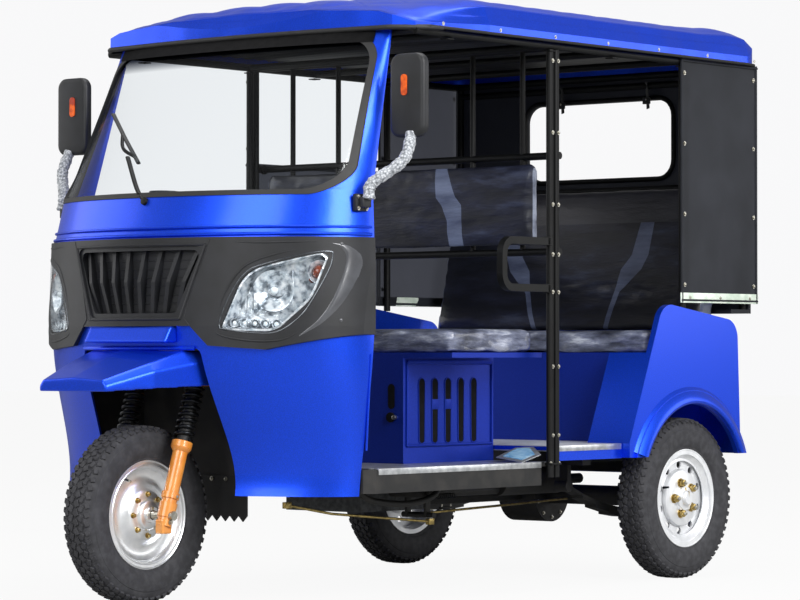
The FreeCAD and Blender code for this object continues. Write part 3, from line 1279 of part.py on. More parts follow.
def make_handlebar():
    """A clamped bar that sweeps back to a grip on each side."""
    path = doc.addObject("Sketcher::SketchObject", "bar_path")
    points = [vector(ZERO, ZERO), vector(c.bar_clamp_half, ZERO),
              vector(c.bar_rise_half, c.bar_sweep * 0.62), vector(c.bar_half, c.bar_sweep)]
    names = [(ZERO, ZERO), (c.bar_clamp_half, ZERO), (c.bar_rise_half, c.bar_sweep * 0.62),
             (c.bar_half, c.bar_sweep)]
    for start, end in zip(points, points[1:]):
        path.addGeometry(Part.LineSegment(start, end), False)
    pin_point(path, 0, 1, *names[0])
    for number in range(3):
        if number:
            path.addConstraint(Sketcher.Constraint("Coincident", number - 1, 2, number, 1))
        pin_point(path, number, 2, *names[number + 1])
    ring = doc.addObject("Part::Circle", "bar_ring")
    bind(ring, Radius=c.bar_radius)
    ring.Placement = FreeCAD.Placement(FreeCAD.Vector(), TURN["x"])
    doc.recompute()
    bar = doc.addObject("Part::Sweep", "bar_left")
    bar.Sections = [ring]
    bar.Spine = (path, [f"Edge{n}" for n in (1, 2, 3)])
    bar.Solid = True
    bar.Transition = "Round corner"
    right = mirrored("bar_right", bar)
    clamp = block("bar_clamp", (-c.bar_clamp_half / 2, c.bar_clamp_half / 2),
                  (-c.stem_radius * 2, c.stem_radius * 2), (-c.stem_radius, c.stem_radius * 1.6))
    way = names[3][0] - names[2][0], names[3][1] - names[2][1]
    share = c.grip_length / root(way[0] * way[0] + way[1] * way[1])
    grip = doc.addObject("Part::Cylinder", "grip_left")
    bind(grip, Radius=c.grip_radius, Height=c.grip_length)
    aim = FreeCAD.Rotation(FreeCAD.Vector(0, 0, 1),
                           FreeCAD.Vector(way[0].value, way[1].value, 0))
    place(grip, c.bar_half - way[0] * share, c.bar_sweep - way[1] * share, turn=aim)
    whole = fuse("bar_unit", [bar, right, grip, mirrored("grip_right", grip), clamp])
    on_steering_axis(whole, c.stem_top + c.stem_radius)
    node(whole, "handlebar")


def wheel_sketch(body, x, y, *outlines):
    """A half section in the wheel's own axes: along the axle, then outwards."""
    return body.sketch("front", y, *outlines, centre=(x, c.wheel_radius))


def tyre_profile():
    """The outside of the tyre from bead to bead: along the axle, then outwards."""
    half = c.tyre_width / 2
    rim = c.rim_width / 2 - c.rim_wall - c.soft_gap
    bead, crown = c.bead_radius, c.wheel_radius
    side = bead + (crown - bead) * 0.46
    tread = crown - (crown - bead) * c.shoulder_share
    outside = [(rim, bead + c.tyre_wall), (half, side), (half * 0.95, tread),
               (half * c.crown_share, crown)]
    return [(-u, v) for u, v in outside] + outside[::-1]


def ring_of_sides(name, sides, radius):
    """A regular outline whose number of sides is a cell."""
    ring = doc.addObject("Part::RegularPolygon", name)
    ring.Polygon = int(sides.value)
    ring.setExpression("Polygon", sides.text)
    bind(ring, Circumradius=radius)
    return ring


def ruled_solid(name, sections):
    thing = doc.addObject("Part::Loft", name)
    thing.Sections = sections
    thing.Solid = True
    thing.Ruled = True
    return thing


def make_tyre(name, x, y):
    """Many-sided rings lofted along the tyre's profile, less its bore."""
    rings = [place(ring_of_sides(f"{name}_ring{number}", c.tyre_sides, radius),
                   x + along, y, c.wheel_radius, turn=TURN["x"])
             for number, (along, radius) in enumerate(tyre_profile())]
    casing = ruled_solid(f"{name}_casing", rings)
    bore = [place(ring_of_sides(f"{name}_bore{number}", c.tyre_sides,
                                c.bead_radius / cosine(Size(180) / c.tyre_sides)),
                  x + end, y, c.wheel_radius, turn=TURN["x"])
            for number, end in enumerate((-c.tyre_width, c.tyre_width))]
    node(cut(f"{name}_rubber", casing, [ruled_solid(f"{name}_bore", bore)]), name)


def rim_outline(sign):
    """The rolled barrel and its flanges, and the dished disc, in half section."""
    half = c.rim_width / 2
    seat = c.bead_radius - c.soft_gap
    flange = seat + c.tyre_wall
    wall = c.rim_wall
    disc = c.disc_inset * sign
    return [(-half, flange), (wall - half, flange), (wall - half, seat), (half - wall, seat),
            (half - wall, flange), (half, flange), (half, seat - wall),
            (disc + wall, seat - wall), (disc + wall, c.spider_radius * 1.6),
            (disc + wall * 3, c.spider_radius), (disc + wall * 3, c.hub_radius),
            (disc + wall * 2, c.hub_radius),
            (disc + wall * 2, c.spider_radius), (disc, c.spider_radius * 1.6),
            (disc, seat - wall), (-half, seat - wall)]


def make_front_rim():
    """A polished cast wheel: barrel, closed dished disc, drum and hub."""
    body = Body("front_rim")
    place_y = behind(ZERO)
    body.revolve(wheel_sketch(body, ZERO, place_y, rim_outline(1)))
    bore = c.axle_radius
    body.revolve(wheel_sketch(body, ZERO, place_y, rectangle(
        -c.front_hub_half, c.front_hub_half, bore, c.hub_radius + c.skin)))
    body.revolve(wheel_sketch(body, ZERO, place_y, rectangle(
        -c.drum_half, c.drum_half, c.hub_radius, c.drum_radius)))


def make_rear_rim(side, sign):
    """A pressed steel wheel on its brake drum, with a ring of holes and nuts."""
    body = Body(f"rear_rim_{side}")
    x = c.half_track * sign
    y = behind(c.wheelbase)
    profile = wheel_sketch(body, x, y, [(u * sign if sign < 0 else u, v) for u, v in
                                        ((size_of(a), size_of(b)) for a, b in rim_outline(1))])
    body.revolve(profile)
    bore = c.rear_stub_radius + c.running_gap
    inner, outer = -c.hub_half * sign, c.hub_half * sign
    body.revolve(wheel_sketch(body, x, y, rectangle(inner, outer, bore, c.hub_radius + c.skin)))
    drum_end = c.disc_inset * sign
    body.revolve(wheel_sketch(body, x, y, rectangle(inner, drum_end, c.hub_radius, c.drum_radius)))
    turned = body.sketch("side", x, Round(y, c.wheel_radius + c.hole_circle, c.hole_radius))
    hole = body.body.newObject("PartDesign::Pocket", f"rear_rim_{side}_hole")
    hole.Profile = turned
    hole.Midplane = True
    bind(hole, Length=c.rim_width)
    axis = wheel_sketch(body, x, y)
    body.around(hole, axis, c.hole_count)
    low, high = (x, x + c.disc_inset + c.nut_height + c.rim_wall * 3) if sign > 0 else \
        (x - c.disc_inset - c.nut_height - c.rim_wall * 3, x)
    nut = body.pad("side", low, high, Round(y, c.wheel_radius + c.nut_circle, c.nut_radius))
    body.around(nut, axis, c.nut_count)


def make_rear_axle():
    """Axle tube, differential, stubs and the propeller shaft to the engine."""
    y = behind(c.wheelbase)
    z = c.wheel_radius
    tube_half = c.half_track - c.hub_half - c.hub_clear
    stub_half = c.half_track + c.hub_half - c.hub_clear
    parts = [rod("axle_tube", "x", (-tube_half, y, z), tube_half * 2, c.axle_tube_radius),
             rod("axle_stub", "x", (-stub_half, y, z), stub_half * 2, c.rear_stub_radius),
             rod("differential", "x", (-c.diff_half, y, z), c.diff_half * 2, c.diff_radius)]
    start = behind(c.engine_rear_y)
    parts.append(rod("propeller_shaft", "y", (ZERO, start, z), y - start, c.shaft_radius))
    for side, x in (("left", c.spring_x), ("right", -c.spring_x)):
        half = c.leaf_width / 2
        top = z - c.axle_tube_radius / 2
        low = SPRING_LOW + c.leaf_wall * 1.5
        parts.append(block(f"spring_pad_{side}", (x - half, x + half), (y - half, y + half),
                           (low, top)))
    node(fuse("axle_unit", parts), "rear_axle")


def leaf(number):
    """One curved leaf, a share shorter than the one above it. Heights go with the square of Y."""
    middle = behind(c.wheelbase)
    front = behind(c.spring_front_y) - middle
    rear = behind(c.spring_rear_y) - middle
    level = SPRING_LOW - c.leaf_wall * number
    shares = LEAF_SHARES[number:]
    line = [(middle + front * share, level + c.spring_drop * (share * share))
            for share in shares]
    line += [(middle + rear * share, level + (REAR_EYE_Z - SPRING_LOW) * (share * share))
             for share in reversed(shares[:-1])]
    upper = [(y, z + c.leaf_wall) for y, z in reversed(line)]
    half = c.leaf_width / 2
    return prism(f"leaf_{number}", "side", c.spring_x - half, c.spring_x + half, line + upper)


def make_leaf_springs():
    """Stacked leaves under the axle, with eyes and hangers to the chassis."""
    parts = [leaf(number) for number in range(4)]
    half = c.leaf_width / 2
    x0, x1 = c.spring_x - half, c.spring_x + half
    for name, y, z in (("front", behind(c.spring_front_y), c.spring_eye_z),
                       ("rear", behind(c.spring_rear_y), REAR_EYE_Z)):
        parts.append(rod(f"eye_{name}", "x", (x0, y, z + c.leaf_wall / 2), c.leaf_width,
                         c.eye_radius))
        parts.append(block(f"hanger_{name}", (x0, x1), (y - c.eye_radius / 2, y + c.eye_radius / 2),
                           (z, c.chassis_z + c.kick_rise)))
    middle = behind(c.wheelbase)
    parts.append(block("spring_clamp", (x0, x1), (middle - half, middle + half),
                       (SPRING_LOW - c.leaf_wall * 3, SPRING_LOW + c.leaf_wall * 1.5)))
    node(pair("leaf_pair", fuse("leaf_stack", parts)), "leaf_springs")


def make_engine():
    body = Body("engine")
    body.pad("top", c.engine_low_z, c.engine_top_z, rectangle(
        -c.engine_half, c.engine_half, behind(c.engine_front_y), behind(c.engine_rear_y)))


def make_exhaust():
    """Pipe from the engine's side and a round muffler under the left rail."""
    y0, y1 = behind(c.muffler_front_y), behind(c.muffler_rear_y)
    x, z = c.muffler_x, c.muffler_z
    parts = [rod("muffler", "y", (x, y0, z), y1 - y0, c.muffler_radius),
             rod("tail_pipe", "y", (x, y1, z), behind(c.tail_pipe_y) - y1, c.pipe_radius),
             rod("down_pipe", "y", (x, behind(c.pipe_front_y), z - c.muffler_radius / 2),
                 y0 - behind(c.pipe_front_y) + c.skin, c.pipe_radius),
             rod("manifold", "x", (c.engine_half, behind(c.pipe_front_y), z - c.muffler_radius / 2),
                 x - c.engine_half, c.pipe_radius)]
    parts.append(block("muffler_strap", (x, x + c.skin), (y0 + c.rail_width, y0 + c.rail_width * 2),
                       (z, c.chassis_z + c.kick_rise)))
    node(fuse("exhaust_unit", parts), "exhaust")


# Mirrors


def mirror_tube(name, points):
    """A bent tube: straight cylinders with a ball at each bend."""
    radius = c.arm_radius.value
    shapes = []
    for start, end in zip(points, points[1:]):
        way = end - start
        shapes.append(Part.makeCylinder(radius, way.Length, start, way))
    for point in points[1:-1]:
        shapes.append(Part.makeSphere(radius, point))
    thing = doc.addObject("Part::Feature", name)
    thing.Shape = shapes[0].fuse(shapes[1:]).removeSplitter()
    return thing


def make_mirrors():
    """The mirror heads on their bent arms, with a pad on each pillar."""
    x, y, z = c.mirror_x, behind(c.mirror_y), c.mirror_z
    head = prism("mirror_head", "front", y - c.mirror_half_depth, y + c.mirror_half_depth,
                 rectangle(x - c.mirror_half_width, x + c.mirror_half_width,
                           z - c.mirror_half_height, z + c.mirror_half_height, c.mirror_round))
    foot = FreeCAD.Vector(c.arm_foot_x.value, behind(c.arm_foot_y).value, c.arm_foot_z.value)
    elbow = FreeCAD.Vector(c.elbow_x.value, behind(c.elbow_y).value, c.elbow_z.value)
    top = FreeCAD.Vector(x.value, y.value, (z - c.mirror_half_height * 0.6).value)
    arm = mirror_tube("mirror_arm", [foot, elbow, top])
    pad = cut("mirror_pad", block(
        "mirror_pad_blank", (c.header_half, c.arm_foot_x + c.arm_radius),
        (behind(c.arm_foot_y) - c.arm_pad_half, behind(c.arm_foot_y) + c.arm_pad_half),
        (c.arm_foot_z - c.arm_pad_half, c.arm_foot_z + c.arm_pad_half)),
        [upper_column("mirror_seat", ZERO)])
    node(pair("mirror_pair", fuse("mirror_unit", [head, arm, pad])), "mirrors")


def build():
    cowl_outer, cowl_inner = make_front_cowl()
    make_fascia(cowl_outer)
    make_grille()
    make_headlamps()
    make_mudguard(cowl_outer)
    make_upper_cowl()
    make_windscreen()
    make_dashboard()
    make_wiper()
    make_roof()
    make_roof_frame()
    for side, sign in (("left", 1), ("right", -1)):
        make_side_frame(side, sign)
        make_fender(side, sign)
        make_curtain(side, sign)
        make_rear_rim(side, sign)
        make_tyre(f"rear_tyre_{side}", c.half_track * sign, behind(c.wheelbase))
    make_partition_frame()
    make_rear_frame()
    make_chassis()
    make_floors()
    make_wheelhouse(cowl_inner)
    make_driver_seat()
    make_passenger_seat()
    make_tail()
    make_side_guard()
    make_fork()
    make_fork_springs()
    make_front_axle()
    make_handlebar()
    make_front_rim()
    make_tyre("front_tyre", ZERO, behind(ZERO))
    make_rear_axle()
    make_leaf_springs()
    make_engine()
    make_exhaust()
    make_mirrors()


build()
doc.recompute()

faults = [thing.Label for thing in doc.Objects if {"Invalid", "Error"} & set(thing.State)]
for thing in nodes:
    shape = getattr(thing, "Shape", None)
    if shape is None or shape.isNull() or not shape.isValid():
        faults.append(f"{thing.Label}: shape")
if faults:
    raise RuntimeError(f"failed pieces: {faults}")
os.makedirs("parts", exist_ok=True)
for thing in nodes:
    thing.Shape.exportStep(f"parts/{thing.Label}.step")
print(len(nodes), "parts written")
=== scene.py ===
"""Finishes and fine detail for an auto rickshaw, laid out as a Blender add-on.

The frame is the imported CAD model; lengths are metres in its frame: +Z is up,
the nose points to -Y and the vehicle's left is +X. New pieces are modelled in
place, so every finished object sits at the origin.
"""
import json
import math

import bmesh
import bpy
from bpy.props import FloatProperty, FloatVectorProperty, IntProperty, PointerProperty
from mathutils import Matrix, Vector, noise
from mathutils.bvhtree import BVHTree


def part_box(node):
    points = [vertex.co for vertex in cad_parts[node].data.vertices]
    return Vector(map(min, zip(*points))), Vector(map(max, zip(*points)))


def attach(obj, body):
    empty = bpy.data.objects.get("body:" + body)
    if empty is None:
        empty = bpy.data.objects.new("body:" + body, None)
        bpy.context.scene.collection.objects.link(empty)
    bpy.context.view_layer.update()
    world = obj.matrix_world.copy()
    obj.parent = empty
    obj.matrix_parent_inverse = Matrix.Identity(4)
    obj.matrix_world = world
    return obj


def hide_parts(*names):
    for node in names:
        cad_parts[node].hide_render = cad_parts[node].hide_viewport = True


bl_info = {
    "name": "Auto rickshaw finishes",
    "version": (1, 0, 0),
    "blender": (4, 5, 0),
    "location": "3D View > Sidebar > Rickshaw",
    "description": "Dresses the packed auto rickshaw with finishes and fine detail",
    "category": "Object",
}

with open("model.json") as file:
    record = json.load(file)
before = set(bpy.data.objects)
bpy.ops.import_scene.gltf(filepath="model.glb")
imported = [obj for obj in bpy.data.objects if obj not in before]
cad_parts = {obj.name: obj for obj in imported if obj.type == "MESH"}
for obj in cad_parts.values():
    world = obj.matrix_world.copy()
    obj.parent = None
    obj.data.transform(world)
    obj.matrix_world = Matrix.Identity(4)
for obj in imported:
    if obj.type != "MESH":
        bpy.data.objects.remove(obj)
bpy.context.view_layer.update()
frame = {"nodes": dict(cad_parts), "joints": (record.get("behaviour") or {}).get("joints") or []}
BOX = {name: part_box(name) for name in frame["nodes"]}
PIVOT = {joint["name"]: joint for joint in frame["joints"]}


def joint_point(name):
    """A point on a joint's axis, in the vehicle's frame."""
    return Vector(PIVOT[name]["pos_m"])


FRONT_WHEEL = joint_point("front_wheel_spin")
REAR_LEFT = joint_point("rear_wheel_left_spin")
REAR_RIGHT = joint_point("rear_wheel_right_spin")
STEER_POINT = joint_point("steering_turn")
STEER_AXIS = Vector(PIVOT["steering_turn"]["axis"]).normalized()


def linear(code):
    """A linear colour from an sRGB hex value."""
    channels = [int(code[i:i + 2], 16) / 255 for i in (1, 3, 5)]
    return [c / 12.92 if c <= 0.04045 else ((c + 0.055) / 1.055) ** 2.4 for c in channels] + [1.0]


def add_node(tree, kind, settings=(), links=()):
    """Add a shader node, set its properties and inputs, and link what feeds it."""
    node = tree.nodes.new(kind)
    for name, value in dict(settings).items():
        if isinstance(name, int) or name in node.inputs:
            node.inputs[name].default_value = value
        else:
            setattr(node, name, value)
    for name, source in dict(links).items():
        tree.links.new(source, node.inputs[name])
    return node


def ramp(tree, source, stops):
    """A colour ramp over a value; each stop is (place, colour)."""
    node = add_node(tree, "ShaderNodeValToRGB", links={"Fac": source})
    bands = node.color_ramp.elements
    while len(bands) < len(stops):
        bands.new(0.5)
    for band, (place, colour) in zip(bands, stops):
        band.position, band.color = place, colour
    return node.outputs["Color"]


class Finish:
    """A material being made: its tree, its shader and the object's coordinates."""

    def __init__(self, name, **shader):
        self.material = bpy.data.materials.new(name)
        self.material.use_nodes = True
        self.tree = self.material.node_tree
        self.shader = self.tree.nodes["Principled BSDF"]
        for socket, value in shader.items():
            self.shader.inputs[socket.replace("_", " ")].default_value = value
        self.place = add_node(self.tree, "ShaderNodeTexCoord").outputs["Object"]

    def noise(self, size_mm, detail=3.0, rough=0.5, vector=None):
        """Noise whose cells are about this many millimetres across."""
        return add_node(self.tree, "ShaderNodeTexNoise",
                        {"Scale": 1000.0 / size_mm, "Detail": detail, "Roughness": rough},
                        {"Vector": vector or self.place}).outputs["Fac"]

    def cells(self, size_mm):
        """The distance from the middle of cells that lie about this far apart."""
        return add_node(self.tree, "ShaderNodeTexVoronoi", {"Scale": 1000.0 / size_mm},
                        {"Vector": self.place}).outputs["Distance"]

    def threads(self, pitch_mm, distortion=0.0):
        """Woven threads that lie this many millimetres apart up the cloth."""
        return add_node(self.tree, "ShaderNodeTexWave",
                        {"Scale": round(100.0 * math.pi / pitch_mm, 1), "Distortion": distortion,
                         "bands_direction": "Z"}, {"Vector": self.place}).outputs["Fac"]

    def math(self, operation, first, second=0.0):
        """One sum on two values, each a number or another node's output."""
        node = add_node(self.tree, "ShaderNodeMath", {"operation": operation})
        for socket, value in ((0, first), (1, second)):
            if isinstance(value, (int, float)):
                node.inputs[socket].default_value = value
            else:
                self.tree.links.new(value, node.inputs[socket])
        return node.outputs[0]

    def blend(self, share, first, second):
        """One colour where the share is 0 and the other where it is 1."""
        mix = add_node(self.tree, "ShaderNodeMix", {"data_type": "RGBA"})
        for name, source in (("Factor_Float", share), ("A_Color", first), ("B_Color", second)):
            socket = next(s for s in mix.inputs if s.identifier == name)
            self.tree.links.new(source, socket)
        return next(s for s in mix.outputs if s.identifier == "Result_Color")

    def colour(self, source, stops):
        """Base colour from a value, through the stops of a ramp."""
        self.tree.links.new(ramp(self.tree, source, stops), self.shader.inputs["Base Color"])

    def mottle(self, size_mm, dark, light, detail=3.0, low=0.35):
        """Base colour that drifts between two hex values over patches of this size."""
        patches = self.noise(size_mm, detail)
        self.colour(patches, [(low, linear(dark)), (0.7, linear(light))])
        return patches

    def roughness(self, source, low, high):
        """Roughness between two values, from a source between 0 and 1."""
        mapped = add_node(self.tree, "ShaderNodeMapRange", {"To Min": low, "To Max": high},
                          {"Value": source}).outputs["Result"]
        self.tree.links.new(mapped, self.shader.inputs["Roughness"])

    def bump(self, height, depth_mm, strength):
        """Small relief from a height between 0 and 1, this many millimetres deep."""
        node = add_node(self.tree, "ShaderNodeBump",
                        {"Strength": strength, "Distance": depth_mm / 1000.0}, {"Height": height})
        self.tree.links.new(node.outputs["Normal"], self.shader.inputs["Normal"])

    def axis(self, name):
        """One of the object's own coordinates, in metres."""
        return add_node(self.tree, "ShaderNodeSeparateXYZ", (),
                        {"Vector": self.place}).outputs[name]

    def show(self, share, first, second):
        """Show one shader where the share is 0 and the other where it is 1."""
        mix = add_node(self.tree, "ShaderNodeMixShader", (), {1: first, 2: second})
        if isinstance(share, float):
            mix.inputs[0].default_value = share
        else:
            self.tree.links.new(share, mix.inputs[0])
        output = self.tree.nodes["Material Output"]
        self.tree.links.new(mix.outputs[0], output.inputs["Surface"])


def flaked_enamel(name, colour, deep_shares, lit_shares, **shader):
    """A sprayed enamel whose metal flake shows as two depths of its colour, 3 mm apart."""
    f = Finish(name, **shader)
    deep, lit = [[c * share for c, share in zip(colour[:3], shares)] + [1.0]
                 for shares in (deep_shares, lit_shares)]
    f.colour(f.noise(3.0, detail=6.0), [(0.40, deep), (0.62, lit)])
    return f


def metallic_blue_enamel(colour):
    """Metallic car enamel, sprayed and clear-coated: deep in shade, sharp highlights."""
    f = flaked_enamel("metallic_blue_enamel", colour, (0.8, 0.8, 0.8), (1.0, 1.0, 1.0),
                      Metallic=0.80, Roughness=0.36, Coat_Weight=0.22, Coat_Roughness=0.16)
    f.bump(f.noise(1.2, detail=2.0), 0.02, 0.15)
    return f.material


def moulded_black_plastic():
    """Polypropylene moulded against an etched tool: charcoal with a fine grain."""
    f = Finish("moulded_black_plastic", Roughness=0.48, IOR=1.42)
    f.mottle(60.0, "#18191b", "#202125", low=0.3)
    f.bump(f.cells(1.6), 0.12, 0.35)
    return f.material


def black_powder_coat():
    """Powder-coated steel tube: near black, an orange-peel skin and a soft gloss."""
    f = Finish("black_powder_coat", Roughness=0.50, Specular_IOR_Level=0.22)
    f.mottle(40.0, "#060607", "#0c0d0e", low=0.3)
    f.bump(f.noise(2.5), 0.10, 0.25)
    return f.material


def underbody_enamel():
    """Brushed-on chassis black: matt, with dust in broad patches."""
    f = Finish("underbody_enamel", Roughness=0.6)
    dust = f.noise(55.0, detail=6.0)
    f.colour(dust, [(0.45, linear("#0d0d0e")), (0.75, linear("#2a2826"))])
    f.roughness(dust, 0.45, 0.8)
    f.bump(f.noise(4.0), 0.2, 0.4)
    return f.material


def tyre_rubber():
    """Vulcanised carbon-black rubber: matt, a little grey where dust sits."""
    f = Finish("tyre_rubber", Roughness=0.75, IOR=1.52)
    dust = f.noise(22.0, detail=5.0)
    f.colour(dust, [(0.40, linear("#26262a")), (0.72, linear("#39393d"))])
    f.bump(f.noise(1.5), 0.15, 0.5)
    return f.material


def polished_aluminium():
    """Cast wheel alloy turned and polished: bright with fine lathe rings."""
    f = Finish("polished_aluminium", Metallic=0.9, Roughness=0.3)
    f.mottle(30.0, "#e6e8ea", "#f6f7f8", low=0.3)
    f.roughness(f.noise(9.0, detail=5.0), 0.24, 0.42)
    return f.material


def silver_wheel_paint():
    """Pressed steel wheel in silver enamel."""
    f = Finish("silver_wheel_paint", Metallic=0.5, Roughness=0.38, Coat_Weight=0.3)
    f.mottle(60.0, "#dcdee1", "#f2f3f5", detail=3.0)
    return f.material


def orange_enamel():
    """Fork sliders in stoved orange enamel."""
    f = Finish("orange_enamel", Roughness=0.32, Coat_Weight=0.6, Coat_Roughness=0.08)
    f.mottle(40.0, "#cf7d2b", "#dd9342", detail=3.0)
    return f.material


def bright_steel():
    """Zinc-plated steel: bright grey with a slight yellow pass in patches."""
    f = Finish("bright_steel", Metallic=1.0, Roughness=0.3)
    f.mottle(8.0, "#a8a59a", "#c9c6bb")
    return f.material


def dark_steel():
    """Oil-blacked spring wire; the same dark steel also stands as painted shade in the wheels' vents
    and rings.
    """
    f = Finish("dark_steel", Metallic=0.9, Roughness=0.35)
    f.mottle(6.0, "#1c1d1f", "#303236")
    return f.material


def cast_iron():
    """Sand-cast engine iron under a thin grey wash."""
    f = Finish("cast_iron", Metallic=0.7, Roughness=0.55)
    f.mottle(15.0, "#3c3d3f", "#56585a", detail=6.0)
    f.bump(f.noise(3.0), 0.3, 0.5)
    return f.material


def clear_sheet(f, tint):
    """Make the finish a thin clear sheet: what is behind shows unbent, under a faint gloss."""
    through = add_node(f.tree, "ShaderNodeBsdfTransparent")
    f.tree.links.new(tint, through.inputs["Color"])
    gloss = add_node(f.tree, "ShaderNodeBsdfGlossy", {"Roughness": 0.10})
    facing = add_node(f.tree, "ShaderNodeLayerWeight", {"Blend": 0.5}).outputs["Facing"]
    edge = f.math("MULTIPLY_ADD", f.math("POWER", facing, 5.0), 0.5)
    edge.node.inputs[2].default_value = 0.015
    f.show(edge, through.outputs[0], gloss.outputs[0])


def laminated_glass(low, high):
    """Clear laminated screen that darkens a little along its top edge."""
    f = Finish("laminated_glass")
    reach = add_node(f.tree, "ShaderNodeMapRange", {"From Min": low, "From Max": high},
                     {"Value": f.axis("Z")}).outputs["Result"]
    clear_sheet(f, ramp(f.tree, reach, [(0.88, linear("#fafcfd")), (0.99, linear("#444c5e"))]))
    return f.material


def clear_polycarbonate():
    """Injection-moulded lens: clear and slightly blue."""
    f = Finish("clear_polycarbonate")
    clear_sheet(f, ramp(f.tree, f.noise(20.0), [(0.3, linear("#f6fafc")), (0.7, linear("#ffffff"))]))
    return f.material


def reflector_chrome():
    """Vacuum-metallised reflector: mirror bright, with darker and brighter patches painted in as
    reflections.
    """
    f = Finish("reflector_chrome", Metallic=0.45, Roughness=0.20, Coat_Weight=0.5)
    # Patches from grey to near white: painted reflections in the bowl.
    f.colour(f.noise(22.0, detail=4.0), [(0.36, linear("#757c85")), (0.47, linear("#c3c9d0")),
                                         (0.60, linear("#f4f6f9"))])
    f.bump(f.noise(14.0, detail=2.0), 3.0, 0.5)
    return f.material


def red_acrylic():
    """Tail lamp lens: red acrylic with moulded prisms."""
    f = Finish("red_acrylic", Base_Color=linear("#a00d10"), Roughness=0.15, IOR=1.49,
               Coat_Weight=0.5)
    f.bump(f.cells(6.0), 0.5, 0.6)
    return f.material


def black_rubber():
    """Extruded sealing rubber."""
    f = Finish("black_rubber", Roughness=0.6)
    f.mottle(25.0, "#0c0c0d", "#161617", low=0.3)
    f.bump(f.noise(2.0), 0.1, 0.3)
    return f.material


def sewn_stripe(f, plain, stripe, middle, shape):
    """The grey-blue stripes sewn into a back; shape gives (height, place, half width) in mm."""
    low, high = shape[0][0] / 1000.0, shape[-1][0] / 1000.0
    rise = add_node(f.tree, "ShaderNodeMapRange", {"From Min": low, "From Max": high},
                    {"Value": f.axis("Z")}).outputs["Result"]
    stops = [((height / 1000.0 - low) / (high - low), (place / 1000.0, half / 1000.0, 0.0, 1.0))
             for height, place, half in shape]
    parts = add_node(f.tree, "ShaderNodeSeparateColor", (), {"Color": ramp(f.tree, rise, stops)})
    across = f.math("ABSOLUTE", f.math("SUBTRACT", f.axis("X"), middle / 1000.0))
    gap = f.math("ABSOLUTE", f.math("SUBTRACT", across, parts.outputs["Red"]))
    inside = f.math("LESS_THAN", gap, parts.outputs["Green"])
    above = f.math("GREATER_THAN", f.axis("Z"), low)
    below = f.math("LESS_THAN", f.axis("Z"), high)
    inside = f.math("MULTIPLY", inside, f.math("MULTIPLY", above, below))
    return f.blend(inside, plain, stripe)


def filmed_folds(f, size_mm):
    """Long creases of clear film, pulled along a slope."""
    pulled = add_node(f.tree, "ShaderNodeMapping",
                      {"Rotation": (0.0, math.radians(32.0), 0.0), "Scale": (1.0, 1.0, 4.5)},
                      {"Vector": f.place}).outputs["Vector"]
    return f.noise(size_mm, detail=5.0, rough=0.6, vector=pulled)


def filmed_vinyl(name, middle, shape, plain_above=None):
    """Black seat vinyl with sewn stripes, under the clear film it is delivered in; its fold crests
    and its ends are lighter as painted highlights.
    """
    f = Finish(name, Roughness=0.42, Specular_IOR_Level=0.35, Coat_Weight=0.30,
               Coat_Roughness=0.16)
    folds = filmed_folds(f, 260.0)
    # Fold crests lighter than the troughs: painted highlights on the film's wrinkles, in the plain
    # vinyl and in the stripes.
    plain = ramp(f.tree, folds, [(0.42, linear("#0f111b")), (0.60, linear("#1c1f2f")),
                                 (0.72, linear("#343a50"))])
    stripe = ramp(f.tree, folds, [(0.40, linear("#454d66")), (0.70, linear("#6b7590"))])
    colour = sewn_stripe(f, plain, stripe, middle, shape)
    # A pale band at each end of the back: a painted highlight along the film's edge.
    highlight_edge_x = 0.574
    ends = f.math("GREATER_THAN", f.math("ABSOLUTE", f.axis("X")), highlight_edge_x)
    bright = ramp(f.tree, f.noise(60.0, detail=4.0), [(0.35, linear("#3a4156")),
                                                       (0.62, linear("#9aa2b6"))])
    colour = f.blend(ends, colour, bright)
    if plain_above is not None:
        upper = f.math("GREATER_THAN", f.axis("Z"), plain_above / 1000.0)
        grey = ramp(f.tree, folds, [(0.4, linear("#2d2d33")), (0.7, linear("#3a3a41"))])
        colour = f.blend(upper, colour, grey)
    f.tree.links.new(colour, f.shader.inputs["Base Color"])
    f.bump(folds, 14.0, 0.5)
    return f.material


def driver_back_vinyl():
    """The driver's back: each stripe widens and turns outwards at half height."""
    return filmed_vinyl("driver_back_vinyl", 0.0, [
        (1106, 257, 30), (1198, 256, 31), (1249, 243, 41), (1275, 220, 41), (1384, 190, 22)])


def passenger_back_vinyl():
    """The passengers' back: each stripe narrows towards the cushion; plain grey on top."""
    return filmed_vinyl("passenger_back_vinyl", 20.0, [
        (840, 156, 10), (978, 198, 11), (1057, 247, 44), (1107, 278, 36), (1222, 293, 29)], 1222)


def seat_edge_film_highlights():
    """The same vinyl where the film bunches along the cushions; its pale crumpled streaks are
    painted highlights.
    """
    f = Finish("seat_edge_film_highlights", Roughness=0.30, Coat_Weight=0.6, Coat_Roughness=0.1)
    pulled = add_node(f.tree, "ShaderNodeMapping",
                      {"Rotation": (0.0, math.radians(-18.0), math.radians(12.0)),
                       "Scale": (0.55, 0.55, 2.2)}, {"Vector": f.place}).outputs["Vector"]
    folds = f.noise(85.0, detail=7.0, rough=0.62, vector=pulled)
    # The pale stops are painted highlights on the crumpled film.
    f.colour(folds, [(0.34, linear("#1f222d")), (0.46, linear("#4c5163")),
                     (0.58, linear("#777d92")), (0.70, linear("#c3c9d6"))])
    f.bump(folds, 12.0, 0.9)
    return f.material


def gloss_inlay_painted_highlight():
    """The fascia's polished inlay: black with a wet shine, its colour raised to grey as a painted
    highlight.
    """
    f = Finish("gloss_inlay_painted_highlight", Roughness=0.30, Coat_Weight=0.5)
    # Grey, not black: a painted highlight along the raised inlay.
    f.mottle(50.0, "#3c3d41", "#4c4e53", low=0.3)
    return f.material


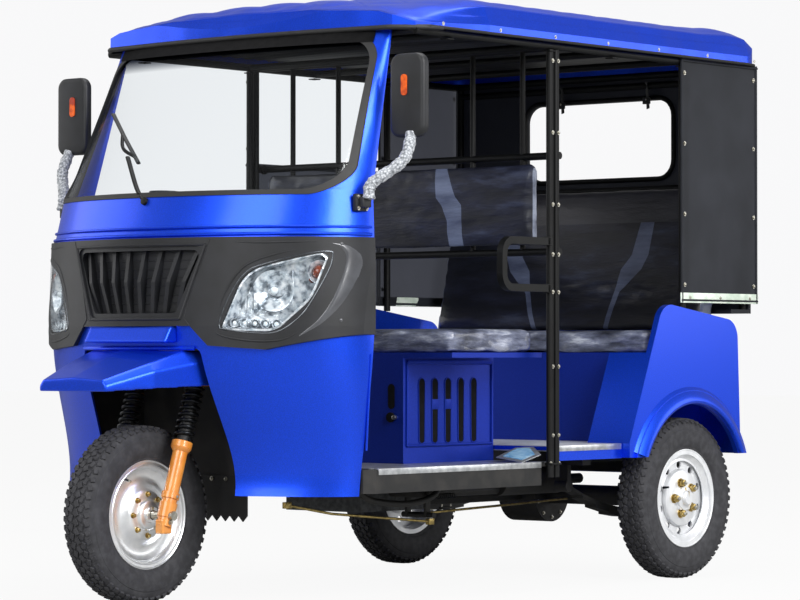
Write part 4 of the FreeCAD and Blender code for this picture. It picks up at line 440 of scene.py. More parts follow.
def turned_brass():
    """Yellow-passivated wheel nuts and hub cap."""
    f = Finish("turned_brass", Metallic=1.0, Roughness=0.28)
    f.mottle(7.0, "#a48a4c", "#cdb67a", detail=4.0)
    return f.material


def yellow_zinc():
    """Yellow-passivated steel rod, dulled by handling."""
    f = Finish("yellow_zinc", Metallic=0.9, Roughness=0.38)
    f.mottle(18.0, "#8c7a4a", "#c0a968", detail=5.0)
    return f.material


def bulb_glass():
    """Frosted white lamp bulbs and small round lights."""
    f = Finish("bulb_glass", Roughness=0.15, IOR=1.5, Coat_Weight=0.6)
    f.mottle(5.0, "#dfe6ea", "#f6f9fa")
    return f.material


def amber_acrylic():
    """Amber reflector and turn lamp: moulded prisms under a gloss skin."""
    f = Finish("amber_acrylic", Roughness=0.16, IOR=1.49, Coat_Weight=0.6)
    f.colour(f.noise(30.0), [(0.4, linear("#a5351a")), (0.6, linear("#e8641c"))])
    f.bump(f.cells(4.0), 0.3, 0.5)
    return f.material


def smoked_amber():
    """The turn lamp's bulb cover behind the lens: brownish red."""
    f = Finish("smoked_amber", Roughness=0.2, IOR=1.49, Coat_Weight=0.4)
    f.mottle(12.0, "#5a2418", "#93442c")
    return f.material


def lamp_black():
    """Black-painted recess; in the seat box's slots the same black stands as painted shade."""
    f = Finish("lamp_black", Roughness=0.85, Specular_IOR_Level=0.1)
    f.mottle(20.0, "#0a0a0b", "#131314", low=0.3)
    return f.material


def bright_trim():
    """Dark satin metal rim round the lamp."""
    f = Finish("bright_trim", Metallic=0.7, Roughness=0.25)
    f.mottle(20.0, "#3f4246", "#595d62", low=0.3)
    return f.material


def foam_wrap():
    """Transit wrap of silvery foam net: soft cells with dark gaps."""
    f = Finish("foam_wrap", Roughness=0.55, Sheen_Weight=0.3)
    net = f.cells(7.0)
    f.colour(net, [(0.10, linear("#cfd2d6")), (0.50, linear("#94989e")), (0.9, linear("#565a60"))])
    f.bump(net, 2.0, 0.8)
    return f.material


def ribbed_lining():
    """Vacuum-formed roof lining: dark grey with a soft sheen on its ribs."""
    f = Finish("ribbed_lining", Roughness=0.45)
    f.mottle(80.0, "#1d1e20", "#2b2c2f", low=0.3)
    f.bump(f.noise(5.0), 0.4, 0.4)
    return f.material


def pale_strip():
    """Extruded strips, off-white with a green cast, and their scuffs."""
    f = Finish("pale_strip", Roughness=0.35)
    f.mottle(45.0, "#b4c4b4", "#dfe6dc", detail=5.0)
    return f.material


def anodised_strip():
    """Aluminium angle along the floor's edges."""
    f = Finish("anodised_strip", Metallic=0.8, Roughness=0.32)
    f.mottle(25.0, "#a9acaf", "#d4d6d8", detail=5.0)
    return f.material


def filmed_step():
    """Step plate under pale blue film."""
    f = Finish("filmed_step", Roughness=0.2, Coat_Weight=0.5)
    f.mottle(30.0, "#5f97c4", "#a9cfe8", detail=5.0)
    f.bump(f.noise(25.0, detail=5.0), 1.5, 0.6)
    return f.material


def pale_floor_sheet():
    """Pale floor sheet with pressed grip marks."""
    f = Finish("pale_floor_sheet", Metallic=0.3, Roughness=0.42)
    f.mottle(40.0, "#b9bdbe", "#dfe2e1", detail=4.0)
    f.bump(f.cells(22.0), 1.0, 0.6)
    return f.material


def black_webbing():
    """Woven polypropylene strap."""
    f = Finish("black_webbing", Roughness=0.7, Sheen_Weight=0.3)
    weave = f.threads(1.428)
    f.colour(weave, [(0.3, linear("#0d0d0e")), (0.7, linear("#1c1d1f"))])
    f.bump(weave, 0.4, 0.6)
    return f.material


def pressed_roof_enamel(colour):
    """The same blue enamel over the pressed roof skin, which waves a little."""
    f = flaked_enamel("pressed_roof_enamel", colour, (0.8, 0.8, 0.8), (1.0, 1.0, 1.0),
                      Metallic=0.80, Roughness=0.34, Coat_Weight=0.22, Coat_Roughness=0.16)
    f.bump(f.noise(180.0, detail=1.0), 16.0, 0.5)
    return f.material


def box_enamel_with_painted_shade(colour):
    """The seat boxes' paint: the body's blue mixed deeper as painted shade, with less metal in it.
    """
    return flaked_enamel("seat_box_painted_shade_enamel", colour, (0.9, 0.34, 0.34), (1.2, 0.46, 0.44),
                         Metallic=0.55, Roughness=0.42, Specular_IOR_Level=0.3).material


def coated_canvas():
    """PVC-coated polyester canvas: dark grey, with its weave just showing."""
    f = Finish("coated_canvas", Roughness=0.6, Specular_IOR_Level=0.3)
    weave = f.threads(1.9635, distortion=1.5)
    cloth = f.mottle(120.0, "#202227", "#292b31", detail=4.0)
    f.bump(f.math("ADD", f.math("MULTIPLY", weave, 0.05), cloth), 6.0, 0.35)
    glow = add_node(f.tree, "ShaderNodeBsdfTranslucent", {"Color": linear("#7c7f8c")})
    f.show(0.22, f.shader.outputs[0], glow.outputs[0])
    return f.material


def checker_floor():
    """Aluminium tread sheet with rolled bars."""
    f = Finish("checker_floor", Metallic=0.9, Roughness=0.38)
    f.mottle(30.0, "#8f9194", "#c3c5c8", detail=5.0)
    f.bump(f.cells(24.0), 1.5, 0.7)
    return f.material


FINISHES = {}


def make_finishes(looks):
    """Make every material, under the short name that the pieces use."""
    glass = BOX["windscreen"]
    makers = {
        "blue": lambda: metallic_blue_enamel(looks.body_colour),
        "roof_blue": lambda: pressed_roof_enamel(looks.body_colour),
        "box_blue": lambda: box_enamel_with_painted_shade(looks.body_colour),
        "plastic": moulded_black_plastic, "tube": black_powder_coat,
        "underbody": underbody_enamel, "tyre": tyre_rubber, "alloy": polished_aluminium,
        "wheel": silver_wheel_paint, "orange": orange_enamel, "steel": bright_steel,
        "spring": dark_steel, "iron": cast_iron,
        "glass": lambda: laminated_glass(glass[0].z, glass[1].z),
        "lens": clear_polycarbonate, "reflector": reflector_chrome, "red": red_acrylic,
        "rubber": black_rubber, "vinyl_driver": driver_back_vinyl,
        "vinyl_passenger": passenger_back_vinyl, "canvas": coated_canvas,
        "floor": checker_floor, "gloss": gloss_inlay_painted_highlight, "brass": turned_brass,
        "zinc": yellow_zinc, "bulb": bulb_glass, "amber": amber_acrylic, "turn": smoked_amber,
        "lamp_black": lamp_black, "trim": bright_trim, "foam": foam_wrap,
        "lining": ribbed_lining, "strip": pale_strip, "angle": anodised_strip,
        "step": filmed_step, "pale": pale_floor_sheet, "webbing": black_webbing,
        "seat_edge": seat_edge_film_highlights,
    }
    FINISHES.update({name: maker() for name, maker in makers.items()})


# Each CAD node's finish.
NODE_FINISH = {
    "roof_blue": ("roof",),
    "blue": ("front_cowl", "mudguard", "upper_cowl", "rear_fender_left",
             "rear_fender_right", "passenger_floor", "tail_panel"),
    # The seat boxes' deeper blue is painted shade.
    "box_blue": ("driver_seat_box", "passenger_seat_box"),
    "plastic": ("front_fascia", "grille", "dashboard", "mirrors"),
    "tube": ("wiper", "roof_frame", "side_frame_left", "side_frame_right", "partition_frame",
             "rear_frame", "handlebar"),
    "underbody": ("chassis_frame", "wheel_well", "rear_axle", "leaf_springs", "exhaust",
                  "driver_floor"),
    "tyre": ("front_tyre", "rear_tyre_left", "rear_tyre_right"),
    "alloy": ("front_rim",),
    "wheel": ("rear_rim_left", "rear_rim_right"),
    "orange": ("fork",),
    "steel": ("front_axle",),
    "spring": ("fork_springs",),
    "iron": ("engine",),
    "glass": ("windscreen",),
    "lens": ("headlamp_lenses",),
    "reflector": ("headlamps",),
    "red": ("tail_lamps",),
    "rubber": ("windscreen_seal", "mud_flap"),
    "seat_edge": ("driver_cushion", "passenger_cushion"),
    "vinyl_driver": ("driver_backrest",),
    "vinyl_passenger": ("passenger_backrest",),
    "canvas": ("curtain_left", "curtain_right", "side_guard_right", "rear_wall"),
}


def at(x, y, z):
    """A point from millimetres; y is the distance behind the front axle."""
    return Vector((x / 1000.0, FRONT_WHEEL.y + y / 1000.0, z / 1000.0))


def on_fork(x, ahead, along):
    """A point by the steering axis: across, ahead of the axis and up along it, in mm."""
    forward = Vector((0.0, -STEER_AXIS.z, STEER_AXIS.y))
    return (STEER_POINT + Vector((x / 1000.0, 0.0, 0.0)) + forward * (ahead / 1000.0)
            + STEER_AXIS * (along / 1000.0))


def rounded(points, steps=6):
    """A smooth line through the points."""
    ends = [points[0] * 2 - points[1], *points, points[-1] * 2 - points[-2]]
    line = []
    for a, b, c, d in zip(ends, ends[1:], ends[2:], ends[3:]):
        for step in range(steps):
            t = step / steps
            line.append(0.5 * ((b * 2) + (c - a) * t + (a * 2 - b * 5 + c * 4 - d) * t ** 2
                               + (b * 3 - a - c * 3 + d) * t ** 3))
    return line + [points[-1]]


class Piece:
    """A new mesh, built in place in the vehicle's frame with bmesh operators."""

    def __init__(self, name, *finishes):
        self.name, self.finishes = name, finishes
        self.bm = bmesh.new()
        self.layer = 0

    def paint(self, verts):
        """Give the faces at these vertices the finish that is in use."""
        for face in {face for vert in verts for face in vert.link_faces}:
            face.material_index = self.layer
        return verts

    def soften(self, verts, width):
        """Round a solid's sharp edges."""
        edges = {edge for vert in verts for edge in vert.link_edges
                 if len(edge.link_faces) == 2 and edge.calc_face_angle(0.0) > 0.6}
        made = bmesh.ops.bevel(self.bm, geom=list(edges), offset=width, segments=2,
                               affect="EDGES", profile=0.5, material=-1)
        return self.paint(made["verts"])

    def block(self, low, high, edge=0.0):
        """A box between two corners, with softened edges."""
        matrix = Matrix.Translation((low + high) / 2) @ Matrix.Diagonal((*(high - low), 1.0))
        verts = bmesh.ops.create_cube(self.bm, size=1.0, matrix=matrix)["verts"]
        self.paint(verts)
        if edge:
            self.soften(verts, edge)
        return verts

    def rod(self, start, end, radius, top=None, sides=24, edge=0.0):
        """A round bar or cone from point to point."""
        way = end - start
        matrix = Matrix.Translation((start + end) / 2) @ \
            way.to_track_quat("Z", "Y").to_matrix().to_4x4()
        verts = bmesh.ops.create_cone(
            self.bm, cap_ends=True, segments=sides, radius1=radius,
            radius2=radius if top is None else top, depth=way.length, matrix=matrix)["verts"]
        self.paint(verts)
        if edge:
            self.soften(verts, edge)
        return verts

    def dome(self, centre, radius, stretch=(1.0, 1.0, 1.0)):
        """A ball, stretched along the vehicle's axes."""
        matrix = Matrix.Translation(centre) @ Matrix.Diagonal((*stretch, 1.0))
        return self.paint(bmesh.ops.create_uvsphere(
            self.bm, u_segments=20, v_segments=10, radius=radius, matrix=matrix)["verts"])

    def pipe(self, points, radius, sides=14, radii=None, flat=1.0):
        """A round or flattened section carried along a line of points."""
        turn, before, rings = None, None, []
        for number, point in enumerate(points):
            way = points[min(number + 1, len(points) - 1)] - points[max(number - 1, 0)]
            way.normalize()
            turn = way.to_track_quat("Z", "Y") if turn is None else \
                before.rotation_difference(way) @ turn
            before = way.copy()
            reach = radius if radii is None else radii[number]
            matrix = Matrix.Translation(point) @ turn.to_matrix().to_4x4() @ \
                Matrix.Diagonal((1.0, flat, 1.0, 1.0))
            ends = number in (0, len(points) - 1)
            rings.append(bmesh.ops.create_circle(self.bm, cap_ends=ends, segments=sides,
                                                 radius=reach, matrix=matrix)["verts"])
        for first, second in zip(rings, rings[1:]):
            for number in range(sides):
                after = (number + 1) % sides
                self.bm.faces.new((first[number], first[after], second[after], second[number]))
        self.paint([vert for ring in rings for vert in ring])

    def turned(self, profile, centre, axis, steps=96):
        """A closed half section, as (along, outwards) in metres, spun about an axis."""
        out = Vector((0.0, 0.0, 1.0)) if abs(axis.z) < 0.9 else Vector((1.0, 0.0, 0.0))
        out = (out - axis * axis.dot(out)).normalized()
        verts = [self.bm.verts.new(centre + axis * along + out * far) for along, far in profile]
        edges = [self.bm.edges.new((a, b)) for a, b in zip(verts, verts[1:] + verts[:1])]
        bmesh.ops.spin(self.bm, geom=verts + edges, cent=centre, axis=axis,
                       angle=2 * math.pi, steps=steps, use_merge=True, use_duplicate=False)
        return self.paint(verts)

    def band(self, rows):
        """A skin over rows of points; each row has as many points as the next."""
        grid = [[self.bm.verts.new(point) for point in row] for row in rows]
        for first, second in zip(grid, grid[1:]):
            for a, b, c, d in zip(first, first[1:], second[1:], second):
                self.bm.faces.new((a, b, c, d))
        return self.paint([vert for row in grid for vert in row])

    def plate(self, outline, thickness):
        """A flat outline of points with a thickness along the given vector."""
        verts = [self.bm.verts.new(point) for point in outline]
        face = self.bm.faces.new(verts)
        made = bmesh.ops.extrude_face_region(self.bm, geom=[face])["geom"]
        moved = [item for item in made if isinstance(item, bmesh.types.BMVert)]
        bmesh.ops.translate(self.bm, vec=thickness, verts=moved)
        return self.paint(verts + moved)

    def bolt(self, place, way, size, height=0.6):
        """A hexagon head on its washer."""
        way = way.normalized()
        self.rod(place, place + way * size * 0.18, size * 1.05, sides=20)
        self.rod(place + way * size * 0.15, place + way * size * height, size * 0.72, sides=6,
                 edge=size * 0.08)

    def mirror(self):
        """Add the same on the other side of the vehicle."""
        verts = list(self.bm.verts)
        made = bmesh.ops.duplicate(self.bm, geom=verts + list(self.bm.edges)
                                   + list(self.bm.faces))["geom"]
        copies = [item for item in made if isinstance(item, bmesh.types.BMVert)]
        bmesh.ops.scale(self.bm, vec=(-1.0, 1.0, 1.0), verts=copies)
        bmesh.ops.reverse_faces(self.bm, faces=[item for item in made
                                                if isinstance(item, bmesh.types.BMFace)])

    def around(self, centre, axis, count, geom):
        """Repeat part of the mesh round an axis."""
        for number in range(1, count):
            made = bmesh.ops.duplicate(self.bm, geom=geom)["geom"]
            bmesh.ops.rotate(self.bm, cent=centre,
                             matrix=Matrix.Rotation(2 * math.pi * number / count, 3, axis),
                             verts=[v for v in made if isinstance(v, bmesh.types.BMVert)])

    def object(self, body="chassis", replaces=(), crease=35.0, recalc=True):
        """Close the mesh as an object that rides a body of the frame."""
        if recalc:
            bmesh.ops.recalc_face_normals(self.bm, faces=self.bm.faces)
        for edge in self.bm.edges:
            edge.smooth = not (len(edge.link_faces) == 2
                               and edge.calc_face_angle(0.0) > math.radians(crease))
        for face in self.bm.faces:
            face.smooth = True
        mesh = bpy.data.meshes.new(self.name)
        self.bm.to_mesh(mesh)
        self.bm.free()
        for finish in self.finishes:
            mesh.materials.append(FINISHES[finish])
        thing = bpy.data.objects.new(self.name, mesh)
        bpy.context.collection.objects.link(thing)
        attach(thing, body)
        if replaces:
            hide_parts(*replaces)
        return thing


ACROSS = Vector((1.0, 0.0, 0.0))
BACK = Vector((0.0, 1.0, 0.0))
UP = Vector((0.0, 0.0, 1.0))




def box_mm(node):
    """A node's lowest and highest corners in the millimetres that at() takes."""
    return [(round(corner.x * 1000.0, 1), round((corner.y - FRONT_WHEEL.y) * 1000.0, 1),
             round(corner.z * 1000.0, 1)) for corner in BOX[node]]


# Driving places of the added pieces, in millimetres: x to the left, y behind the front axle
# and z over the ground. Each ellipse is given by its half width, its depth and its centre's y.
FASCIA_LOW, FASCIA_HIGH = box_mm("front_fascia")
FASCIA_HALF, FASCIA_CENTRE = FASCIA_HIGH[0] + 6.0, FASCIA_HIGH[1]
FASCIA_DEPTH = FASCIA_CENTRE - FASCIA_LOW[1]
FASCIA_FOOT_Z, FASCIA_HEIGHT, FASCIA_LEAN = 845.0, 279.0, 9.0
SCUTTLE_Z, HEADER_Z = box_mm("windscreen")[0][2], box_mm("upper_cowl")[1][2]
SCUTTLE_HALF, SCUTTLE_DEPTH, SCUTTLE_CENTRE = 618.0, 338.0, 385.0
HEADER_HALF, HEADER_DEPTH, HEADER_CENTRE = 575.0, 75.0, box_mm("upper_cowl")[1][1]
FORK_X, FORK_AHEAD = 124.0, 38.0
SEAT_BOX_X = 401.0
SLOT_LOW_Z, SLOT_HIGH_Z, SLOT_PITCH, SLOT_FIRST_Y, SLOTS = 492.0, 668.0, 66.0, 880.0, 5
ARCH_Y, ARCH_Z, FENDER_X = 1980.0, 291.0, 668.0
ARCH_FOOT_Z = box_mm("rear_fender_left")[0][2] + 1.0
POST_SKIN_X = box_mm("side_frame_left")[1][0]
ROOF_LOW, ROOF_HIGH = box_mm("roof")
LINING_FRONT, LINING_REAR = 612.0, 2330.0
# How far a hung cloth's hem lies inside the edge of its CAD slab.
CLOTH_SHORT = 2.0
# The roof's pressing: its least rise, its quilting and the bead along each side.
SKIN_RISE, QUILT_PITCH, QUILT_HEIGHT = 3.2, 190.0, 7.0
BEAD_X, BEAD_WIDTH, BEAD_HEIGHT = 655.0, 8.0, 5.0
# The roof's front edge and its sides, from the middle outwards, as (x, y).
ROOF_FRONT = ((0, 446), (200, 452), (400, 470), (560, 490), (604, 497), (650, 545))
ROOF_SIDE = ((682, 577), (683, 800), (683, 1400), (683, 2000), (683, 2310), (670, 2370),
             (620, 2403), (560, 2408), (300, 2408), (0, 2408))

# The tyre's half section and the wheels' sections, as (across, radius) in metres.
TYRE_HALF = [(0.0395, 0.1545), (0.0480, 0.1660), (0.0490, 0.1735), (0.0535, 0.1790),
             (0.0570, 0.1960), (0.0578, 0.2085), (0.0570, 0.2270), (0.0556, 0.2330),
             (0.0540, 0.2345), (0.0520, 0.2450), (0.0470, 0.2560), (0.0380, 0.2635),
             (0.0200, 0.2665), (0.0070, 0.2672)]
RIM_EDGE = [(0.0455, 0.1600), (0.0480, 0.1640), (0.0475, 0.1685), (0.0440, 0.1690),
            (0.0425, 0.1650), (0.0430, 0.1600)]
FRONT_DISH = [(0.0440, 0.1560), (0.0470, 0.1510), (0.0430, 0.1450), (0.0300, 0.1390),
              (0.0235, 0.1250), (0.0225, 0.1050), (0.0280, 0.0900), (0.0400, 0.0790),
              (0.0460, 0.0700), (0.0465, 0.0560), (0.0490, 0.0480), (0.0560, 0.0440),
              (0.0590, 0.0380), (0.0600, 0.0160)]
FRONT_CAP = [(0.0580, 0.0150), (0.0700, 0.0150), (0.0700, 0.0240), (0.0580, 0.0260)]
REAR_OUTER = [(0.0440, 0.1540), (0.0400, 0.1480), (0.0330, 0.1420), (0.0270, 0.1340),
              (0.0290, 0.1270), (0.0300, 0.1255)]
REAR_INNER = [(0.0225, 0.0980), (0.0310, 0.0930), (0.0350, 0.0840), (0.0365, 0.0600),
              (0.0370, 0.0290)]
REAR_CAP = [(0.0360, 0.0), (0.0610, 0.0), (0.0610, 0.0200), (0.0560, 0.0245), (0.0480, 0.0260),
            (0.0460, 0.0350), (0.0360, 0.0350)]
REAR_SHADOW = [(0.0360, 0.0360), (0.0385, 0.0360), (0.0385, 0.0440), (0.0360, 0.0450)]
DRUM_FACE = [(0.0700, 0.0760), (0.0750, 0.0730), (0.0760, 0.0400), (0.0780, 0.0180),
             (0.0780, 0.0140)]
SHELL_WALL = 0.003
# The tread's blocks: place across, width, outer radius and length in metres, then the skew
# and the lean as angles, with the share of a pitch by which each row lags between them.
TREAD_BLOCKS = ((0.0105, 0.0165, 0.2712, 0.0205, 0.42, 0.0, 0.0),
                (0.0290, 0.0140, 0.2702, 0.0200, -0.38, 0.5, 0.0),
                (0.0455, 0.0145, 0.2620, 0.0150, 0.30, 0.2, 0.62))
BLOCK_DEPTH, BLOCK_SUNK, BLOCK_EDGE = 0.0085, 0.004, 0.0012


def tread_tyre(name, node, body, centre, pitches):
    """A cross-ply tyre: casing with sidewall steps, two zigzag ribs and shoulder lugs."""
    piece = Piece(name, "tyre")
    piece.turned([(-a, r) for a, r in TYRE_HALF] + TYRE_HALF[::-1], centre, ACROSS, steps=120)
    blocks = []
    for sign in (-1, 1):
        for along, width, radius, length, skew, shift, lean in TREAD_BLOCKS:
            lag = shift + (0.5 if sign > 0 else 0.0)
            place = Matrix.Rotation(2 * math.pi / pitches * lag, 4, "X") @ \
                Matrix.Translation((sign * along, 0.0, radius - BLOCK_SUNK)) @ \
                Matrix.Rotation(sign * lean, 4, "Y") @ Matrix.Rotation(sign * skew, 4, "Z") @ \
                Matrix.Diagonal((width, length, BLOCK_DEPTH, 1.0))
            blocks += bmesh.ops.create_cube(
                piece.bm, size=1.0, matrix=Matrix.Translation(centre) @ place)["verts"]
    edges = {edge for vert in blocks for edge in vert.link_edges}
    made = bmesh.ops.bevel(piece.bm, geom=list(edges), offset=BLOCK_EDGE, segments=1,
                           affect="EDGES", profile=0.5, material=-1)
    faces = set(made["faces"]) | {face for vert in made["verts"] for face in vert.link_faces}
    verts = {vert for face in faces for vert in face.verts}
    geom = list(verts) + list({edge for face in faces for edge in face.edges}) + list(faces)
    piece.around(centre, ACROSS, pitches, geom)
    piece.object(body, (node,), crease=28.0)


def wheel_ring(piece, centre, sign, profile, steps=96):
    """A closed ring or cap on one side of a wheel."""
    piece.turned([(a * sign, r) for a, r in profile], centre, ACROSS, steps)


def wheel_side(piece, centre, sign, profile):
    """A turned shell on one side of a wheel, from the points of its outer face."""
    back = [(a - SHELL_WALL, r) for a, r in reversed(profile)]
    wheel_ring(piece, centre, sign, profile + back)


def on_wheel(centre, along, radius, turns):
    """A place on a circle round a wheel's axle, this share of a turn from the top."""
    return centre + Matrix.Rotation(2 * math.pi * turns, 3, "X") @ Vector((along, 0.0, radius))


def make_front_wheel():
    """The front wheel's turned dishes with their bolts and hub caps, and dark discs of painted shade
    for its vents.
    """
    piece = Piece("front_wheel_dish", "alloy", "brass", "spring")
    for sign in (1, -1):
        wheel_side(piece, FRONT_WHEEL, sign, FRONT_DISH)
        wheel_ring(piece, FRONT_WHEEL, sign, RIM_EDGE)
    piece.layer = 1
    for number in range(8):
        for sign in (1, -1):
            piece.bolt(on_wheel(FRONT_WHEEL, 0.0462 * sign, 0.0630, number / 8), ACROSS * sign,
                       0.0085, 1.3)
    for sign in (1, -1):
        wheel_ring(piece, FRONT_WHEEL, sign, FRONT_CAP, steps=40)
    # Dark discs where the vents are: painted shade inside the holes.
    piece.layer = 2
    for number in range(12):
        for sign in (1, -1):
            spot = on_wheel(FRONT_WHEEL, 0.0215 * sign, 0.1150, (number + 0.5) / 12)
            piece.rod(spot, spot + ACROSS * 0.0012 * sign, 0.0065, sides=18)
    piece.object("front_wheel")


def make_front_valve():
    """The front wheel's rubber valve and its cap."""
    valve = Piece("front_wheel_valve", "rubber", "steel")
    foot = FRONT_WHEEL + Vector((0.0300, -0.0900, 0.1130))
    valve.rod(foot, foot + Vector((0.022, 0.006, -0.008)), 0.0042, 0.0030, sides=14)
    valve.layer = 1
    valve.rod(foot + Vector((0.020, 0.0055, -0.007)), foot + Vector((0.027, 0.0074, -0.0098)),
              0.0034, sides=12)
    valve.object("front_wheel")


def make_rear_wheels():
    """Each rear wheel's stepped disc, hub cap, valve, and five brass nuts on washers."""
    for side, sign, centre in (("left", 1, REAR_LEFT), ("right", -1, REAR_RIGHT)):
        piece = Piece(f"rear_wheel_dressing_{side}", "wheel", "steel", "spring", "brass")
        wheel_ring(piece, centre, sign, RIM_EDGE)
        wheel_side(piece, centre, sign, REAR_OUTER)
        wheel_side(piece, centre, sign, REAR_INNER)
        piece.layer = 3
        wheel_ring(piece, centre, sign, REAR_CAP, steps=48)
        # A dark ring of painted shadow round the hub cap.
        piece.layer = 2
        wheel_ring(piece, centre, sign, REAR_SHADOW, steps=48)
        stem = centre + Vector((sign * 0.030, -0.1060, 0.0380))
        piece.rod(stem, stem + Vector((sign * 0.024, -0.004, 0.002)), 0.0046, 0.0034, sides=14)
        out = ACROSS * sign
        for number in range(5):
            spot = on_wheel(centre, 0.0362 * sign, 0.0540, (number + 0.25) / 5)
            piece.layer = 3
            piece.rod(spot, spot + out * 0.0035, 0.0160)
            piece.rod(spot, spot + out * 0.0190, 0.0130, 0.0118, sides=6, edge=0.0008)
            piece.layer = 1
            piece.rod(spot, spot + out * 0.0260, 0.0060, sides=14, edge=0.0008)
        piece.object(f"rear_wheel_{side}")


def make_fork_collars():
    """The sliders' flared collars, axle lugs and bolts, and the gaiters over the tubes."""
    collars = Piece("fork_collars", "orange", "steel", "rubber")
    lug = Vector((0.016, 0.020, 0.022))
    for side in (1, -1):
        x = side * FORK_X

        def tube(along, aside=0.0):
            return on_fork(x + side * aside, FORK_AHEAD, along)

        collars.layer = 0
        for low, high, r0, r1 in ((200, 212, 0.0240, 0.0320), (212, 233, 0.0320, 0.0320),
                                  (52, 72, 0.0275, 0.0275), (-8, 40, 0.0262, 0.0275)):
            collars.rod(tube(low), tube(high), r0, r1, sides=32, edge=0.0015)
        collars.block(tube(-34) - lug, tube(-34) + lug, 0.004)
        collars.layer = 1
        for along in (-20, 60):
            collars.bolt(tube(along, 24), ACROSS * side, 0.0070, 1.1)
        collars.layer = 2
        collars.rod(tube(233), tube(426), 0.0205, sides=28)
        collars.layer = 1
        collars.rod(tube(424), tube(431), 0.0300, sides=32, edge=0.001)
    collars.object("steering", crease=16.0)


def make_fork_coils():
    """The fork's coil springs, nine turns each."""
    coils = Piece("fork_coils", "spring")
    turns, steps, reach = 9, 20, 0.0262
    low, rise = 239, 184
    for x in (FORK_X, -FORK_X):
        line = []
        for step in range(turns * steps + 1):
            angle = 2 * math.pi * step / steps
            spot = on_fork(x, FORK_AHEAD, low + rise * step / (turns * steps))
            line.append(spot + ACROSS * (reach * math.cos(angle))
                        + STEER_AXIS.cross(ACROSS) * (reach * math.sin(angle)))
        coils.pipe(line, 0.0060, sides=10)
    coils.object("steering", ("fork_springs",), crease=60.0)


def make_drum_plate():
    """The front drum's plate on the wheel's right, its torque arm and its lever."""
    plate = Piece("front_drum_plate", "alloy", "steel", "spring")
    wheel_side(plate, FRONT_WHEEL, -1, DRUM_FACE)
    plate.layer = 1
    plate.pipe([on_fork(-76, 46, 8), on_fork(-84, 60, 70), on_fork(-100, 62, 96)], 0.0065)
    plate.layer = 2
    plate.pipe([on_fork(-84, 84, 6), on_fork(-90, 108, 26), on_fork(-92, 118, 58)], 0.0040)
    plate.object("steering")


def make_fork_yoke():
    """The tubes' caps and nuts on the lower yoke, and the yoke's boss."""
    yoke = Piece("fork_yoke_dressing", "tube", "steel")
    for x in (FORK_X, -FORK_X):
        foot, shoulder, top = [on_fork(x, FORK_AHEAD, along) for along in (448, 470, 478)]
        yoke.layer = 0
        yoke.rod(foot, shoulder, 0.0260, 0.0210, sides=28, edge=0.002)
        yoke.layer = 1
        yoke.rod(shoulder, top, 0.0150, sides=6, edge=0.001)
    yoke.layer = 0
    boss = on_fork(0, 6, 452)
    yoke.block(boss - Vector((0.05, 0.03, 0.012)), boss + Vector((0.05, 0.03, 0.014)), 0.004)
    yoke.object("steering")


def merged_copy(name, node):
    """A CAD node's mesh as a new object, with its loose triangles joined."""
    bm = bmesh.new()
    bm.from_mesh(frame["nodes"][node].data)
    bmesh.ops.remove_doubles(bm, verts=bm.verts, dist=0.00002)
    mesh = bpy.data.meshes.new(name)
    bm.to_mesh(mesh)
    bm.free()
    thing = bpy.data.objects.new(name, mesh)
    bpy.context.collection.objects.link(thing)
    bpy.context.view_layer.objects.active = thing
    return thing


def dress(thing, finish):
    """Give a finished object its one finish and smooth shading."""
    thing.data.materials.clear()
    thing.data.materials.append(FINISHES[finish])
    for face in thing.data.polygons:
        face.use_smooth = True


def stuff(thing):
    """Blow the object up with a short cloth run under pressure."""
    cloth = thing.modifiers.new("stuffing", "CLOTH")
    cloth.settings.use_pressure = True
    cloth.settings.uniform_pressure_force = 4.0
    cloth.settings.effector_weights.gravity = 0.0
    cloth.settings.quality = 4
    last = 16
    cloth.point_cache.frame_start, cloth.point_cache.frame_end = 1, last
    for number in range(1, last + 1):
        bpy.context.scene.frame_set(number)
    bpy.ops.object.modifier_apply(modifier=cloth.name)
    bpy.context.scene.frame_set(1)


def film_crease(spot, folds_mm):
    """How far the film stands out at a place, in metres; its folds lie along the seat."""
    level_folds, upright_folds = 9.0, 24.0
    stretched = Vector((spot.x * level_folds, spot.y * level_folds, spot.z * upright_folds))
    crease = noise.turbulence(stretched, 3, False, amplitude_scale=0.6, frequency_scale=2.1)
    return (crease - 0.35) * folds_mm / 1000.0


